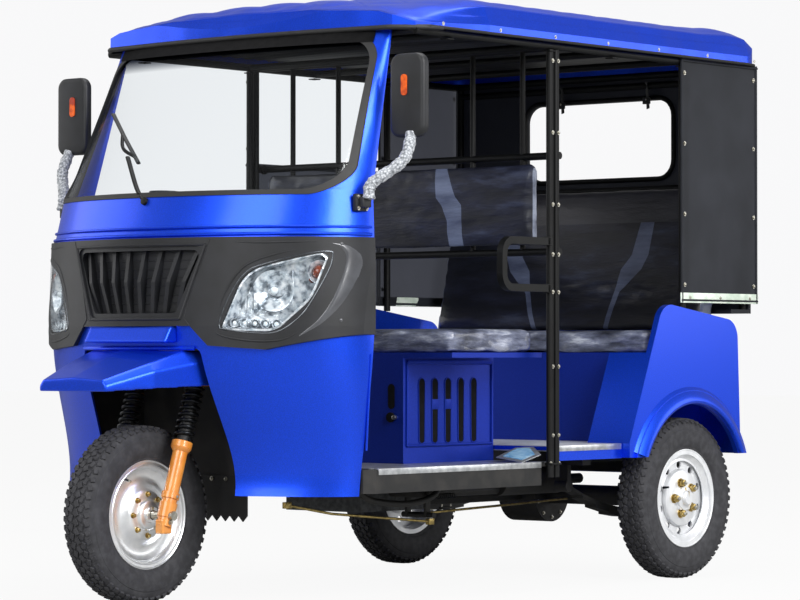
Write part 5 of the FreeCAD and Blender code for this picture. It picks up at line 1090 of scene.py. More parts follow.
def cushion(name, node, finish, swell_mm, cell_mm, proud, folds_mm):
    """A padded piece: the CAD block remeshed, blown up by a cloth run and creased by its film.

    proud holds how far the film may stand out below and above the block, in mm.
    """
    thing = merged_copy(name, node)
    low, high = BOX[node]
    middle, size = (low + high) / 2, high - low
    slim = Vector([max(0.4, 1.0 - 2 * swell_mm / 1000.0 / side) for side in size])
    base, top = low.z - proud[0] / 1000.0, high.z + (proud[1] - swell_mm * 0.5) / 1000.0
    lift = Vector((0.0, 0.0, (base + top) / 2 - middle.z))
    slim.z = (top - base) / size.z
    for vert in thing.data.vertices:
        vert.co = middle + lift + (vert.co - middle) * slim
    remesh = thing.modifiers.new("even_cells", "REMESH")
    remesh.mode = "VOXEL"
    remesh.voxel_size = cell_mm / 1000.0
    bpy.ops.object.modifier_apply(modifier=remesh.name)
    start = [vert.co.copy() for vert in thing.data.vertices]
    stuff(thing)
    cap = swell_mm / 1000.0
    below = [side / 1000.0 for side in (folds_mm * 0.5, folds_mm * 0.5, proud[0])]
    above = [side / 1000.0 for side in (folds_mm * 0.5, folds_mm * 0.5, proud[1])]
    for vert, before in zip(thing.data.vertices, start):
        step = vert.co - before
        if step.length > cap:
            step *= cap / step.length
        vert.co = before + step
        far = vert.co - middle
        shares = [far[i] / size[i] for i in range(3)]
        way = Vector([share if abs(share) > 0.3 else 0.0 for share in shares])
        if folds_mm and way.length:
            vert.co += way.normalized() * film_crease(vert.co, folds_mm)
        vert.co = Vector([min(max(vert.co[i], low[i] - below[i]), high[i] + above[i])
                          for i in range(3)])
    dress(thing, finish)
    smooth = thing.modifiers.new("round_over", "SUBSURF")
    smooth.levels = smooth.render_levels = 1
    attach(thing, "chassis")
    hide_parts(node)
    return thing


def hung_cloth(name, node, y0, y1, z0, z1, x):
    """A coated cloth stretched between tubes, a little slack in the middle."""
    side = 1.0 if x > 0 else -1.0
    cloth = Piece(name, "canvas")
    columns, rows = 24, 36
    grid = []
    for row in range(rows + 1):
        z = z0 + (z1 - z0) * row / rows
        line = []
        for column in range(columns + 1):
            y = y0 + (y1 - y0) * column / columns
            slack = math.sin(math.pi * column / columns) * math.sin(math.pi * row / rows)
            wave = 1.6 * math.sin(y * 0.013 + z * 0.006) + 1.1 * math.sin(z * 0.017 - y * 0.01)
            line.append(at(x + side * (wave - 2.0) * slack, y, z))
        grid.append(line)
    cloth.band(grid)
    sheet = cloth.object("chassis", (node,), recalc=False)


def cloth_hem(name, y0, y1, z0, z1, x, strip):
    """The cloth's hems and bolts, and the pale strip along a curtain's foot."""
    side = 1.0 if x > 0 else -1.0
    hem = Piece(f"{name}_hem", "canvas", "steel", "strip")
    for a, b in (((y0 + 6, z0), (y0 + 6, z1)), ((y1 - 6, z0), (y1 - 6, z1)),
                 ((y0, z1 - 8), (y1, z1 - 8)), ((y0, z0 + 8), (y1, z0 + 8))):
        hem.pipe([at(x + side * 1.5, *a), at(x + side * 1.5, *b)], 0.0045, sides=8)
    hem.layer = 1
    count = 4
    for number in range(count):
        z = z0 + 60 + (z1 - z0 - 110) * number / (count - 1)
        for y in (y0 + 22, y1 - 22):
            hem.bolt(at(x + side, y, z), ACROSS * side, 0.0070, 0.7)
    if strip:
        hem.layer = 2
        hem.block(at(x + side * 2 - 2, y0 - 3, z0 - 1), at(x + side * 2 + 2, y1 + 3, z0 + 33),
                  0.001)
        hem.layer = 1
        for share in (0.0, 0.5, 1.0):
            y = y0 + 50 + (y1 - y0 - 100) * share
            hem.bolt(at(x + side * 4.2, y, z0 + 17), ACROSS * side, 0.0055)
    hem.object()


def hung_panel(name, node, strip=False):
    """A stiff coated cloth between tubes with its hems and bolts, where its CAD slab is."""
    low, high = box_mm(node)
    edges = (low[1], high[1], low[2] + CLOTH_SHORT, high[2] - CLOTH_SHORT, (low[0] + high[0]) / 2)
    hung_cloth(name, node, *edges)
    cloth_hem(name, *edges, strip)


def face_y(x, inset=0.0, z=FASCIA_FOOT_Z):
    """How far behind the axle the fascia's leaning face is, at a place across and up."""
    inset += FASCIA_LEAN * max(0.0, z - FASCIA_FOOT_Z) / FASCIA_HEIGHT
    half, depth = FASCIA_HALF - inset, FASCIA_DEPTH - inset
    return FASCIA_CENTRE - depth * math.sqrt(max(0.0, 1.0 - (x / half) ** 2))


def on_face(x, z, inset=0.0):
    """A place on the fascia's leaning face, or this far under it."""
    return at(x, face_y(x, inset, z), z)


def face_way(x):
    """The fascia's outward direction there."""
    return Vector((x / FASCIA_HALF ** 2, -(FASCIA_CENTRE - face_y(x)) / FASCIA_DEPTH ** 2,
                   0.0)).normalized()


def smooth_on_face(places, steps):
    """A smooth line of (x, z) places over the fascia."""
    return rounded([Vector((x, z, 0.0)) for x, z in places], steps)


def make_lamp_bowls(lamps):
    """The main bowl with its bulb, and the turn lamp's with its amber cover."""
    for x, z, radius, main in ((448.0, 950.0, 62.0, True), (545.0, 1006.0, 36.0, False)):
        way, spot, r = face_way(x), on_face(x, z, 40.0), radius / 1000.0
        lamps.layer = 0
        lamps.turned([(0.002, r * 0.30), (0.010, r * 0.62), (0.024, r * 0.95), (0.025, r),
                      (0.022, r), (0.008, r * 0.66), (0.000, r * 0.30)], spot, way, steps=40)
        lamps.layer = 1 if main else 2
        lamps.dome(spot + way * 0.012, 0.012 if main else 0.021)
        lamps.rod(spot, spot + way * 0.012, 0.009, sides=20)
        if not main:
            lamps.dome(spot + way * 0.008 - UP * 0.022 - ACROSS * 0.028, 0.014)
        lamps.layer = 3
        lamps.rod(spot + way * 0.0005, spot + way * 0.0015, r * 0.34)


def make_lamp_parts():
    """What shows through each headlamp's lens: bowls, a bulb, an amber one and five lights."""
    lamps = Piece("headlamp_internals", "reflector", "bulb", "turn", "lamp_black")
    make_lamp_bowls(lamps)
    nose, chin = Vector((322.0, 832.0)), Vector((478.0, 826.0))
    for share in (0.18, 0.36, 0.54, 0.72, 0.90):
        place = nose + (chin - nose) * share
        way, spot = face_way(place.x), on_face(place.x, place.y + 23.0, 30.0)
        lamps.layer = 0
        lamps.turned([(0.0, 0.0085), (0.012, 0.0125), (0.0135, 0.0125), (0.0135, 0.0138),
                      (0.0, 0.0118)], spot, way, steps=24)
        lamps.layer = 1
        lamps.dome(spot + way * 0.005, 0.0078)
    lamps.layer = 0
    for number in range(9):
        x, low, high = 352.0 + 17.0 * number, 890.0 + number * 2.0, 925.0 + number * 11.0
        lamps.rod(on_face(x, low, 44.0), on_face(x, high, 44.0), 0.0035, sides=8)
    lamps.mirror()
    lamps.object()


def make_lamp_rims():
    """A thin dark rim round each headlamp's opening."""
    rim = Piece("headlamp_rims", "trim")
    outline = [(322, 838), (400, 826), (478, 826), (530, 868), (560, 925), (588, 1010),
               (594, 1056), (586, 1068), (540, 1060), (460, 1035), (398, 1008), (352, 940),
               (322, 862), (322, 838)]
    rim.pipe([on_face(p.x, p.y, 1.0) for p in smooth_on_face(outline, 4)], 0.0026, sides=8)
    rim.mirror()
    rim.object()


def around_column(turn, half, depth, centre, z):
    """A place round the cab's nose on an ellipse, at an angle in degrees from the front."""
    angle = math.radians(turn)
    return at(half * math.sin(angle), centre - depth * math.cos(angle), z)


def screen_point(turn, z, proud):
    """A place on the leaning front above the scuttle, standing proud of it by so much."""
    share = (z - SCUTTLE_Z) / (HEADER_Z - SCUTTLE_Z)
    half = SCUTTLE_HALF + (HEADER_HALF - SCUTTLE_HALF) * share + proud
    depth = SCUTTLE_DEPTH + (HEADER_DEPTH - SCUTTLE_DEPTH) * share + proud
    centre = SCUTTLE_CENTRE + (HEADER_CENTRE - SCUTTLE_CENTRE) * share
    return around_column(turn, half, depth, centre, z)


def make_belt_creases():
    """Two pressed creases round the belt panel, just above the fascia."""
    belt = Piece("belt_creases", "blue")
    for z, half, depth, centre, radius in ((1121.0, 634.5, 370.5, 372.0, 0.0052),
                                           (1143.0, 632.5, 368.0, 374.0, 0.0038)):
        belt.pipe([around_column(turn, half, depth, centre, z) for turn in range(-88, 89, 4)],
                  radius, sides=10)
    belt.object()


def gloss_crest(fascia):
    """The swelling gloss inlay that curves down outside each headlamp."""
    crest = smooth_on_face(((594, 1092), (614, 1080), (625, 1046), (620, 985), (604, 915),
                            (576, 858), (534, 815)), 8)
    rows = []
    for number, p in enumerate(crest):
        share = number / (len(crest) - 1)
        swell = math.sin(math.pi * (0.03 + 0.94 * share)) ** 0.8
        way = (crest[min(number + 1, len(crest) - 1)] - crest[max(number - 1, 0)]).normalized()
        side = Vector((way.y, -way.x, 0.0)) * (11.0 * swell)
        rows.append([on_face(q.x, q.y, 0.5 - 4.0 * swell * rise)
                     for q, rise in ((p - side, 0.0), (p - side * 0.5, 0.8), (p, 1.0),
                                     (p + side * 0.5, 0.8), (p + side, 0.0))])
    fascia.band(rows)


def make_fascia_creases():
    """The fascia's gloss inlays, tapering creases, seams beside the grille and two screws."""
    fascia = Piece("fascia_creases", "plastic", "gloss")
    # The inlay's grey colour is a painted highlight.
    fascia.layer = 1
    gloss_crest(fascia)
    fascia.layer = 0
    for places, reach in (
            (((312, 1100), (420, 1094), (520, 1096), (590, 1098)), 3.5),
            (((300, 836), (330, 815), (420, 800), (500, 806), (552, 850)), 4.0),
            (((312, 868), (338, 946), (390, 1022), (470, 1058), (560, 1080)), 4.0)):
        line = smooth_on_face(places, 6)
        radius, last = reach / 1000.0, len(line) - 1
        radii = [max(0.0006, radius * math.sin(math.pi * (0.04 + 0.92 * n / last)))
                 for n in range(last + 1)]
        fascia.pipe([on_face(p.x, p.y, 1.5) for p in line], radius, sides=12, radii=radii)
    seam = [(226, 846), (206, 868), (232, 960), (262, 1040), (286, 1108)]
    fascia.pipe([on_face(x, z, 0.5) for x, z in seam], 0.0022, sides=8)
    fascia.layer = 1
    for x, z in ((608, 1090), (612, 862)):
        fascia.bolt(on_face(x, z), face_way(x), 0.0055, 0.5)
    fascia.mirror()
    fascia.object()


def make_grille_trim():
    """A raised bezel round the grille, the rods behind its bars and the seal under it."""
    bezel = Piece("grille_bezel", "plastic")
    corners = [Vector((x, z, 0.0)) for x, z in (
        (-192, 866), (0, 866), (192, 866), (232, 976), (272, 1090), (0, 1092), (-272, 1090),
        (-232, 976), (-192, 866))]
    for first, last in zip(corners, corners[1:]):
        steps = [first.lerp(last, n / 8) for n in range(9)]
        bezel.pipe([on_face(p.x, p.y, 0.5) for p in steps], 0.0042, sides=10)
    bezel.object()
    mesh = Piece("grille_mesh", "plastic")
    for number in range(8):
        z = 888.0 + 26.0 * number
        half = 184.0 + 84.0 * (z - 872.0) / 214.0 - 14.0
        mesh.pipe([on_face(share * half, z, 34.0) for share in (-1.0, -0.6, -0.2, 0.2, 0.6, 1.0)],
                  0.0028, sides=6)
    mesh.object()
    seal = Piece("guard_seal", "blue")
    seal.pipe([at(x, face_y(x, 13.0), 778.0) for x in range(-234, 235, 26)], 0.0062, sides=10)
    seal.object()


def make_screen_trim():
    """The black header over the windscreen and the blue linings inside its pillars."""
    header = Piece("header_trim", "lamp_black")
    header.band([[screen_point(turn, z, 5.0) for z in (1716, 1728, 1740, 1752, 1761)]
                 for turn in range(-68, 69, 4)])
    header.object(recalc=False)
    lining = Piece("pillar_linings", "blue")
    lining.band([[screen_point(turn, z, -25.0) for z in range(1249, 1701, 41)]
                 for turn in range(-93, -74, 3)])
    lining.mirror()
    lining.object(recalc=False)


def make_cowl_seams():
    """The rolled seam down each rear edge of the front shell."""
    seam = Piece("cowl_seams", "blue")
    seam.pipe(rounded([at(621.5, 350, 470), at(628, 353, 620), at(634, 358, 760)]), 0.0035,
              sides=8)
    seam.mirror()
    seam.object()


def round_corners(piece, verts, width):
    """Round the corners of a block as it is seen from the front."""
    edges = {e for v in verts for e in v.link_edges
             if abs((e.verts[0].co - e.verts[1].co).normalized().y) > 0.9}
    bmesh.ops.bevel(piece.bm, geom=list(edges), offset=width, segments=6, affect="EDGES",
                    profile=0.5, material=-1)


def make_mirror_shells():
    """Rounded mirror shells, each with an amber reflector on its front."""
    shell = Piece("mirror_shells", "plastic", "amber")
    middle, half = at(717, 439, 1541), Vector((0.067, 0.017, 0.127))
    round_corners(shell, shell.block(middle - half, middle + half), 0.034)
    rims = {e for e in shell.bm.edges if len(e.link_faces) == 2 and e.calc_face_angle(0.0) > 1.0}
    bmesh.ops.bevel(shell.bm, geom=list(rims), offset=0.012, segments=4, affect="EDGES",
                    profile=0.5, material=-1)
    shell.layer = 1
    round_corners(shell, shell.block(at(699, 418.5, 1540), at(721, 424.5, 1604)), 0.0095)
    shell.mirror()
    shell.object("chassis", ("mirrors",), crease=50.0)


def make_mirror_arms():
    """The mirrors' bent arms in their foam wrap, on bolted pads at the pillars."""
    arms = Piece("mirror_arms", "foam", "plastic", "steel")
    line = rounded([at(655, 322, 1226), at(654, 328, 1264), at(671, 345, 1287),
                    at(718, 385, 1329), at(736, 405, 1366), at(731, 430, 1426)], 8)
    reach, lumps = 0.0178, 0.0022
    radii = [reach + lumps * math.sin(number * 1.7) * math.sin(number * 0.61 + 1.0)
             for number in range(len(line))]
    arms.pipe(line, reach, sides=18, radii=radii)
    arms.layer = 1
    arms.block(at(612, 296, 1190), at(630, 350, 1242), 0.004)
    arms.block(at(628, 304, 1200), at(650, 342, 1232), 0.004)
    arms.layer = 2
    for y in (304, 342):
        for z in (1199, 1233):
            arms.bolt(at(630, y, z), ACROSS, 0.0065, 0.8)
    arms.mirror()
    arms.object()


def surface(node):
    """A search tree over a CAD node's skin."""
    bm = bmesh.new()
    bm.from_mesh(frame["nodes"][node].data)
    tree = BVHTree.FromBMesh(bm)
    bm.free()
    return tree


def averaged(lines, reach):
    """Each value of the lines averaged along its line."""
    made = []
    for line in lines:
        near = [line[max(0, n - reach):n + reach + 1] for n in range(len(line))]
        made.append([sum(part) / len(part) for part in near])
    return made


def pressing(x, y):
    """How far the roof's sheet is pressed up at a place: quilted lumps and a side bead."""
    broad = max(0.0, 1.0 - (abs(x) / 650.0) ** 6)
    first = math.sin(math.pi * (x * 0.9 + y) / QUILT_PITCH)
    second = math.sin(math.pi * (x * 0.9 - y) / QUILT_PITCH)
    quilt = QUILT_HEIGHT * broad * (abs(first * second)) ** 0.7
    return SKIN_RISE + quilt + BEAD_HEIGHT * math.exp(-((abs(x) - BEAD_X) / BEAD_WIDTH) ** 2)


def make_roof_skin():
    """The pressed skin: soft shoulders, quilted lumps and a bead along each side."""
    roof = surface("roof")
    columns, rows, half, above = 112, 164, 674.0, 3000.0

    def first_hit(x, y, step):
        """The first place along the roof, from outside it, that has roof under it."""
        while not roof.ray_cast(at(x, y, above), -UP)[0]:
            y += step
        return y + step * 2.5

    across = [-half + 2 * half * column / columns for column in range(columns + 1)]
    outside_front, outside_rear, step = ROOF_LOW[1] - 14.0, ROOF_HIGH[1] + 10.0, 3.0
    ends = [(first_hit(x, outside_front, step), first_hit(x, outside_rear, -step))
            for x in across]
    grid = [[(x, front + (rear - front) * row / rows) for x, (front, rear) in zip(across, ends)]
            for row in range(rows + 1)]
    heights = [[roof.ray_cast(at(x, y, above), -UP)[0].z * 1000.0 for x, y in line]
               for line in grid]
    soft = averaged(heights, 3)
    soft = list(zip(*averaged(list(zip(*soft)), 3)))
    points = []
    for row, line in enumerate(grid):
        made = []
        for column, (x, y) in enumerate(line):
            rim = min(row, rows - row, column, columns - column)
            share = min(1.0, rim / 5.0)  # the pressing rises over five cells from the edge
            share = share * share * (3.0 - 2.0 * share)
            own = heights[row][column]
            z = own + 0.6 + share * (soft[row][column] - own + pressing(x, y))
            made.append(at(x, y, max(z, own + 0.4)))
        points.append(made)
    skin = Piece("roof_pressing", "roof_blue")
    skin.band(points)
    skin.object(crease=60.0, recalc=False)


def make_mudguard():
    """The mudguard with its folds softened, as a deep pressing has them."""
    guard = merged_copy("mudguard_pressed", "mudguard")
    cells = guard.modifiers.new("even_cells", "REMESH")
    cells.mode = "VOXEL"
    cells.voxel_size = 0.0032
    soft = guard.modifiers.new("soft_folds", "SMOOTH")
    soft.factor, soft.iterations = 0.5, 14
    bpy.ops.object.modifier_apply(modifier=cells.name)
    bpy.ops.object.modifier_apply(modifier=soft.name)
    dress(guard, "blue")
    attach(guard, "chassis")
    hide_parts("mudguard")


def make_fender_flares():
    """The rolled flare round each rear wheel arch, down to the wheel box's lower edge."""
    flare = Piece("fender_flares", "blue")
    section = ((301.5, 668), (301.5, 692), (304, 697), (312, 698), (324, 694), (338, 686),
               (350, 678), (358, 672.4))
    rows = []
    for step in range(61):
        turn = math.radians(-9.0 + 198.0 * step / 60)
        fade = min(1.0, step / 6.0, (60 - step) / 6.0)
        if ARCH_Z + section[-1][0] * math.sin(turn) > ARCH_FOOT_Z + 0.5:
            rows.append([at(FENDER_X + (x - FENDER_X) * (0.55 + 0.45 * fade),
                            ARCH_Y + radius * math.cos(turn),
                            max(ARCH_FOOT_Z, ARCH_Z + radius * math.sin(turn)))
                         for radius, x in section])
    flare.band(rows)
    flare.mirror()
    flare.object(crease=60.0)


def make_roof_lip():
    """The black lip round the roof's edge, thicker in front, and the rivets of its sides."""
    lip = Piece("roof_lip", "rubber", "steel")
    foot = ROOF_LOW[2]
    lip.pipe([at(x, y, foot + 1.0) for x, y in ROOF_FRONT + ROOF_SIDE], 0.0050, sides=8)
    front = rounded([at(x, y - 5.0, foot - 3.5) for x, y in ROOF_FRONT + ((684, 590), (688, 640))],
                    3)
    thick, thinner = 0.0080, 0.0040
    lip.pipe(front, thick, sides=12,
             radii=[thick - thinner * max(0.0, n - 15.0) / 6.0 for n in range(len(front))])
    lip.layer = 1
    for number in range(7):
        lip.bolt(at(ROOF_HIGH[0] - 0.5, 640.0 + 285.0 * number, foot + 13.0), ACROSS, 0.0055, 0.5)
    lip.mirror()
    lip.object()


def make_visor_underside():
    """The plain black sheet under the roof's front overhang."""
    under = Piece("visor_underside", "plastic")
    rows = []
    for column in range(13):
        x = -640.0 + 1280.0 * column / 12
        front = 452.0 + (abs(x) / 604.0) ** 2 * 44.0 + max(0.0, abs(x) - 604.0) * 1.1
        rows.append([at(x, front + (LINING_FRONT - front) * step / 6,
                        1761.0 - 3.0 * math.sin(math.pi * step / 6)) for step in range(7)])
    under.band(rows)
    under.object(recalc=False)


def make_roof_lining():
    """The ribbed lining under the roof, between its front and its rear wall."""
    lining = Piece("roof_lining", "lining")
    rows, columns, half, low = 240, 12, 636.0, 1776.0
    grid = []
    for row in range(rows + 1):
        y = LINING_FRONT + (LINING_REAR - LINING_FRONT) * row / rows
        rib = 5.0 * abs(math.sin(math.pi * row / 8)) ** 0.6
        grid.append([at(-half + 2 * half * column / columns, y,
                        low + rib + 10.0 * math.sin(math.pi * column / columns))
                     for column in range(columns + 1)])
    lining.band(grid)
    lining.object(recalc=False)


def slot(middle, radius, low=SLOT_LOW_Z, high=SLOT_HIGH_Z, steps=24):
    """An upright slot with round ends, as (sideways, z) places in order round it."""
    turns = [2 * math.pi * k / steps for k in range(steps)]
    return [(middle + radius * math.cos(t), (high if math.sin(t) > -0.01 else low)
             + radius * math.sin(t)) for t in turns]


def make_seat_box_frames():
    """The framed slotted panel on each side of the driver's seat box, its slots filled with black
    plates of painted shade, and the lock in front.
    """
    panel = Piece("seat_box_frames", "box_blue", "lamp_black", "steel")
    corners = [at(SEAT_BOX_X, y, z) for y, z in ((806, 470), (1236, 470), (1236, 730), (806, 730))]
    panel.pipe(corners + [corners[0]], 0.0055, sides=8)
    panel.block(at(399.5, 806, 728), at(406, 1236, 742), 0.002)
    for number in range(SLOTS):
        middle = SLOT_FIRST_Y + SLOT_PITCH * number
        loop = [at(SEAT_BOX_X, y, z) for y, z in slot(middle, 16.5, steps=12)]
        panel.pipe(loop + [loop[0]], 0.0018, sides=6)
        # A black plate in each slot: painted shade where the opening is.
        panel.layer = 1
        panel.plate([at(400.4, y, z) for y, z in slot(middle, 15.0)], ACROSS * 0.0008)
        panel.layer = 0
        if number in (1, 2):
            panel.block(at(400.6, middle - 17, 584), at(402.6, middle + 17, 616), 0.0008)
    panel.mirror()
    # A black plate in the lock's slot: painted shade.
    panel.layer = 1
    panel.plate([at(x, 788.5, z) for x, z in slot(352.0, 14.0, 600.0, 652.0)], BACK * -0.0010)
    panel.rod(at(352, 789, 560), at(352, 779, 560), 0.0160, sides=28, edge=0.002)
    panel.layer = 2
    panel.rod(at(368, 789, 560), at(368, 778, 560), 0.0075, sides=20, edge=0.001)
    panel.object()


def make_floor_coverings():
    """The tread sheets, the pale rear sheet, edge angles and the filmed step plates."""
    floor = Piece("floor_coverings", "floor", "angle", "step", "pale")
    driver = ((-596, 392), (596, 392), (622, 430), (622, 1246), (404, 1246), (404, 782),
              (-404, 782), (-404, 1246), (-622, 1246), (-622, 430))
    rear = ((-632, 1262), (632, 1262), (632, 1622), (496, 1640), (496, 1790), (-496, 1790),
            (-496, 1640), (-632, 1622))
    floor.plate([at(x, y, 412.4) for x, y in driver], UP * 0.0018)
    floor.layer = 3
    floor.plate([at(x, y, 462.4) for x, y in rear], UP * 0.0018)
    floor.layer = 1
    for y0, y1, z in ((384, 1190, 412), (1262, 1624, 462)):
        for side in (1, -1):
            a, b = sorted((side * 622.0, side * 642.0))
            floor.block(at(a, y0, z + 0.2), at(b, y1, z + 3.2), 0.001)
            a, b = sorted((side * 640.2, side * 642.4))
            floor.block(at(a, y0, z - 16), at(b, y1, z + 3), 0.0008)
    floor.block(at(-630, 1252.5, 446), at(630, 1255, 464), 0.001)
    step = ((640, 1090, 414.5), (520, 1110, 428), (500, 1236, 455), (560, 1254, 459),
            (640, 1190, 437))
    film = ((622, 1112, 421.5), (536, 1126, 432.5), (519, 1222, 454.0), (560, 1234, 456.0),
            (620, 1184, 437.5))
    for side in (1, -1):
        floor.layer = 1
        floor.plate([at(side * x, y, z) for x, y, z in step], UP * 0.0020)
        floor.layer = 2
        floor.plate([at(side * x, y, z) for x, y, z in film], UP * 0.0022)
    floor.object()


def make_window_parts():
    """The rear window's rounded frame, and its roll-up straps with their buckles."""
    window = Piece("rear_window_frame", "tube", "webbing", "steel")
    loop = []
    for cx, cz, start in ((265, 1605, 0), (-265, 1605, 90), (-265, 1448, 180), (265, 1448, 270)):
        for step in range(7):
            turn = math.radians(start + step * 15)
            loop.append(at(cx + 66 * math.cos(turn), 2367, cz + 66 * math.sin(turn)))
    window.pipe(loop + [loop[0]], 0.0085, sides=12)
    for x in (-151, 228):
        window.layer = 1
        window.pipe([at(x, 2346, 1726), at(x + 2, 2350, 1700), at(x + 1, 2354, 1660),
                     at(x + 4, 2352, 1632)], 0.0120, sides=12, flat=0.16)
        window.block(at(x - 15, 2343, 1648), at(x + 17, 2350, 1672), 0.002)
        window.layer = 2
        window.bolt(at(x + 1, 2343, 1664), -BACK, 0.0032)
    window.object()


def make_post_parts():
    """Domed bolts, weld collars and brackets of the black tube frame."""
    posts = Piece("post_fittings", "tube", "steel")
    front, rear = 1222, 1252
    posts.layer = 1
    for z in (500, 720, 959, 1080, 1240, 1471, 1702):
        for y in (front, rear):
            posts.bolt(at(POST_SKIN_X, y, z), ACROSS, 0.0062, 0.7)
    posts.layer = 0
    for z in (970, 1122):
        posts.block(at(638, 1196, z - 14), at(POST_SKIN_X, 1212, z + 14), 0.003)
    for z in (1090, 1400):
        posts.rod(at(628, 1276, z), at(640, 1276, z), 0.017, edge=0.002)
    for y in (700, front, 1560, 1960):
        posts.block(at(636, y - 16, 1731), at(666, y + 16, 1735), 0.001)
    posts.block(at(632, 1210, 405), at(668, 1264, 411), 0.002)
    posts.layer = 1
    for y in (1216, 1258):
        posts.bolt(at(660, y, 411), UP, 0.0060, 0.8)
    posts.mirror()
    posts.object()


def make_wiper_parts():
    """A pressed arm with its spring hinge, and a blade in its yoke."""
    wiper = Piece("wiper_arm_and_blade", "tube", "rubber")
    pivot, joint = at(-3, 36, 1226), at(-205, 168, 1376)
    wiper.rod(at(-3, 50, 1222), at(-3, 30, 1230), 0.0120, edge=0.002)
    wiper.pipe(rounded([pivot, pivot.lerp(joint, 0.3) - BACK * 0.012, joint]), 0.0078, sides=12,
               flat=0.6)
    low, high = at(-158, 168, 1356), at(-388, 288, 1526)
    wiper.pipe(rounded([low.lerp(high, 0.12), joint + (high - low) * 0.18, low.lerp(high, 0.62)]),
               0.0058, sides=10)
    wiper.layer = 1
    wiper.pipe([low, low.lerp(high, 0.5) - BACK * 0.003, high], 0.0078, sides=8, flat=0.6)
    wiper.object("chassis", ("wiper",))


def make_handlebar_parts():
    """Ringed grips, their perches and levers, and the sleeve of the steering column."""
    bar = Piece("handlebar_fittings", "rubber", "tube", "steel")
    height = 916
    for side in (1, -1):
        a, b = on_fork(side * 222, -113, height), on_fork(side * 332, -160, height)
        way = (b - a).normalized()
        bar.layer = 0
        for number in range(12):
            spot = a.lerp(b, number / 11)
            bar.rod(spot - way * 0.0032, spot + way * 0.0032, 0.0182, sides=20)
        bar.layer = 1
        perch = a.lerp(b, -0.18)
        bar.dome(perch, 0.020, (1.0, 1.0, 0.9))
        bar.layer = 2
        lever = [perch + Vector((0.0, -0.020, 0.0)), perch + Vector((side * 0.030, -0.045, 0.0)),
                 b + Vector((0.0, -0.055, -0.004)), b + Vector((side * 0.012, -0.045, -0.006))]
        bar.pipe(rounded(lever), 0.0052, sides=10, flat=0.7)
    bar.layer = 1
    bar.rod(on_fork(0, 0, 692), on_fork(0, 0, 884), 0.0200, sides=28, edge=0.002)
    bar.object("steering")


def make_instrument_pod():
    """The round instrument, sunk nearly flush in the dashboard, with a steel ring."""
    pod = Piece("instrument_pod", "plastic", "lamp_black", "steel")
    low, high = BOX["dashboard"]
    lean = Vector((0.0, 0.03, 1.0)).normalized()
    seat = Vector((0.0, (low.y + high.y) / 2, high.z - 0.0185)) - lean * 0.010
    pod.turned([(0.0, 0.0), (0.0, 0.052), (0.010, 0.056), (0.022, 0.052), (0.026, 0.046),
                (0.021, 0.044), (0.021, 0.0)], seat, lean, steps=48)
    pod.layer = 2
    pod.turned([(0.0245, 0.0445), (0.0275, 0.0450), (0.0275, 0.0490), (0.0235, 0.0505)],
               seat, lean, steps=48)
    pod.object()


def make_underbody_parts():
    """Brake rods and their clevises, the pedal's shaft and arms, U-bolts and cover bolts."""
    under = Piece("underbody_linkage", "zinc", "underbody", "steel", "spring")
    under.pipe([at(300, 352, 296), at(300, 560, 262), at(300, 1044, 219)], 0.0042, sides=10)
    under.pipe([at(210, 1044, 238), at(210, 1500, 250), at(210, 1900, 262)], 0.0042, sides=10)
    for y, z in ((352, 296), (1044, 219)):
        under.block(at(292, y - 14, z - 10), at(308, y + 14, z + 10), 0.002)
    under.layer = 1
    under.pipe(rounded([at(330, 640, 336), at(345, 700, 300), at(350, 860, 284),
                        at(340, 1000, 300), at(330, 1060, 338)], 8), 0.0105)
    under.rod(at(190, 1040, 240), at(320, 1040, 240), 0.0090, sides=16)
    for x in (286, 206):
        under.block(at(x, 1028, 232), at(x + 10, 1052, 341), 0.002)
    for x in (420, -420):
        under.layer = 2
        for y in (1960, 2010):
            under.pipe([at(x + dx, y, z) for dx, z in (
                (-22, 205), (-22, 300), (-14, 309), (14, 309), (22, 300), (22, 205))],
                0.0050, sides=10)
            for dx in (-22, 22):
                under.bolt(at(x + dx, y, 206), -UP, 0.0075, 1.0)
        under.layer = 1
        under.block(at(x - 32, 1948, 204), at(x + 32, 2022, 212), 0.002)
    under.layer = 2
    for number in range(10):
        for side in (1, -1):
            middle = Vector((side * 0.080, REAR_LEFT.y, REAR_LEFT.z))
            under.bolt(on_wheel(middle, 0.0, 0.082, number / 10), ACROSS * side, 0.0060, 0.9)
    under.layer = 3
    reach, turns, steps = 0.008, 9, 8
    line = []
    for step in range(turns * steps + 1):
        angle = 2 * math.pi * step / steps
        line.append(at(318, 1060 + 90 * step / (turns * steps), 300)
                    + Vector((reach * math.cos(angle), 0.0, reach * math.sin(angle))))
    under.pipe(line, 0.0016, sides=6)
    under.object()


def make_tail_undercoat():
    """The dark undercoat along the tail panel's foot."""
    low, high = BOX["tail_panel"]
    coat = Piece("tail_undercoat", "underbody")
    coat.block(Vector((low.x + 0.004, low.y - 0.0016, low.z + 0.002)),
               Vector((high.x - 0.004, low.y - 0.0002, 0.430)))
    coat.object()


def make_flap_bolts():
    """The bolts that hold the mud flap."""
    flap = Piece("mud_flap_bolts", "steel")
    low, high = box_mm("mud_flap")
    for x in (-120, -60, 0, 60, 120):
        flap.bolt(at(x, low[1] - 1.0, high[2] - 12.0), -BACK, 0.0065, 0.8)
    flap.object()


class RickshawLooks(bpy.types.PropertyGroup):
    """Colours that a user would change."""
    body_colour: FloatVectorProperty(
        name="Body colour", description="Enamel of the cab and the roof", size=4,
        subtype="COLOR", default=linear("#1048e4"), min=0.0, max=1.0)


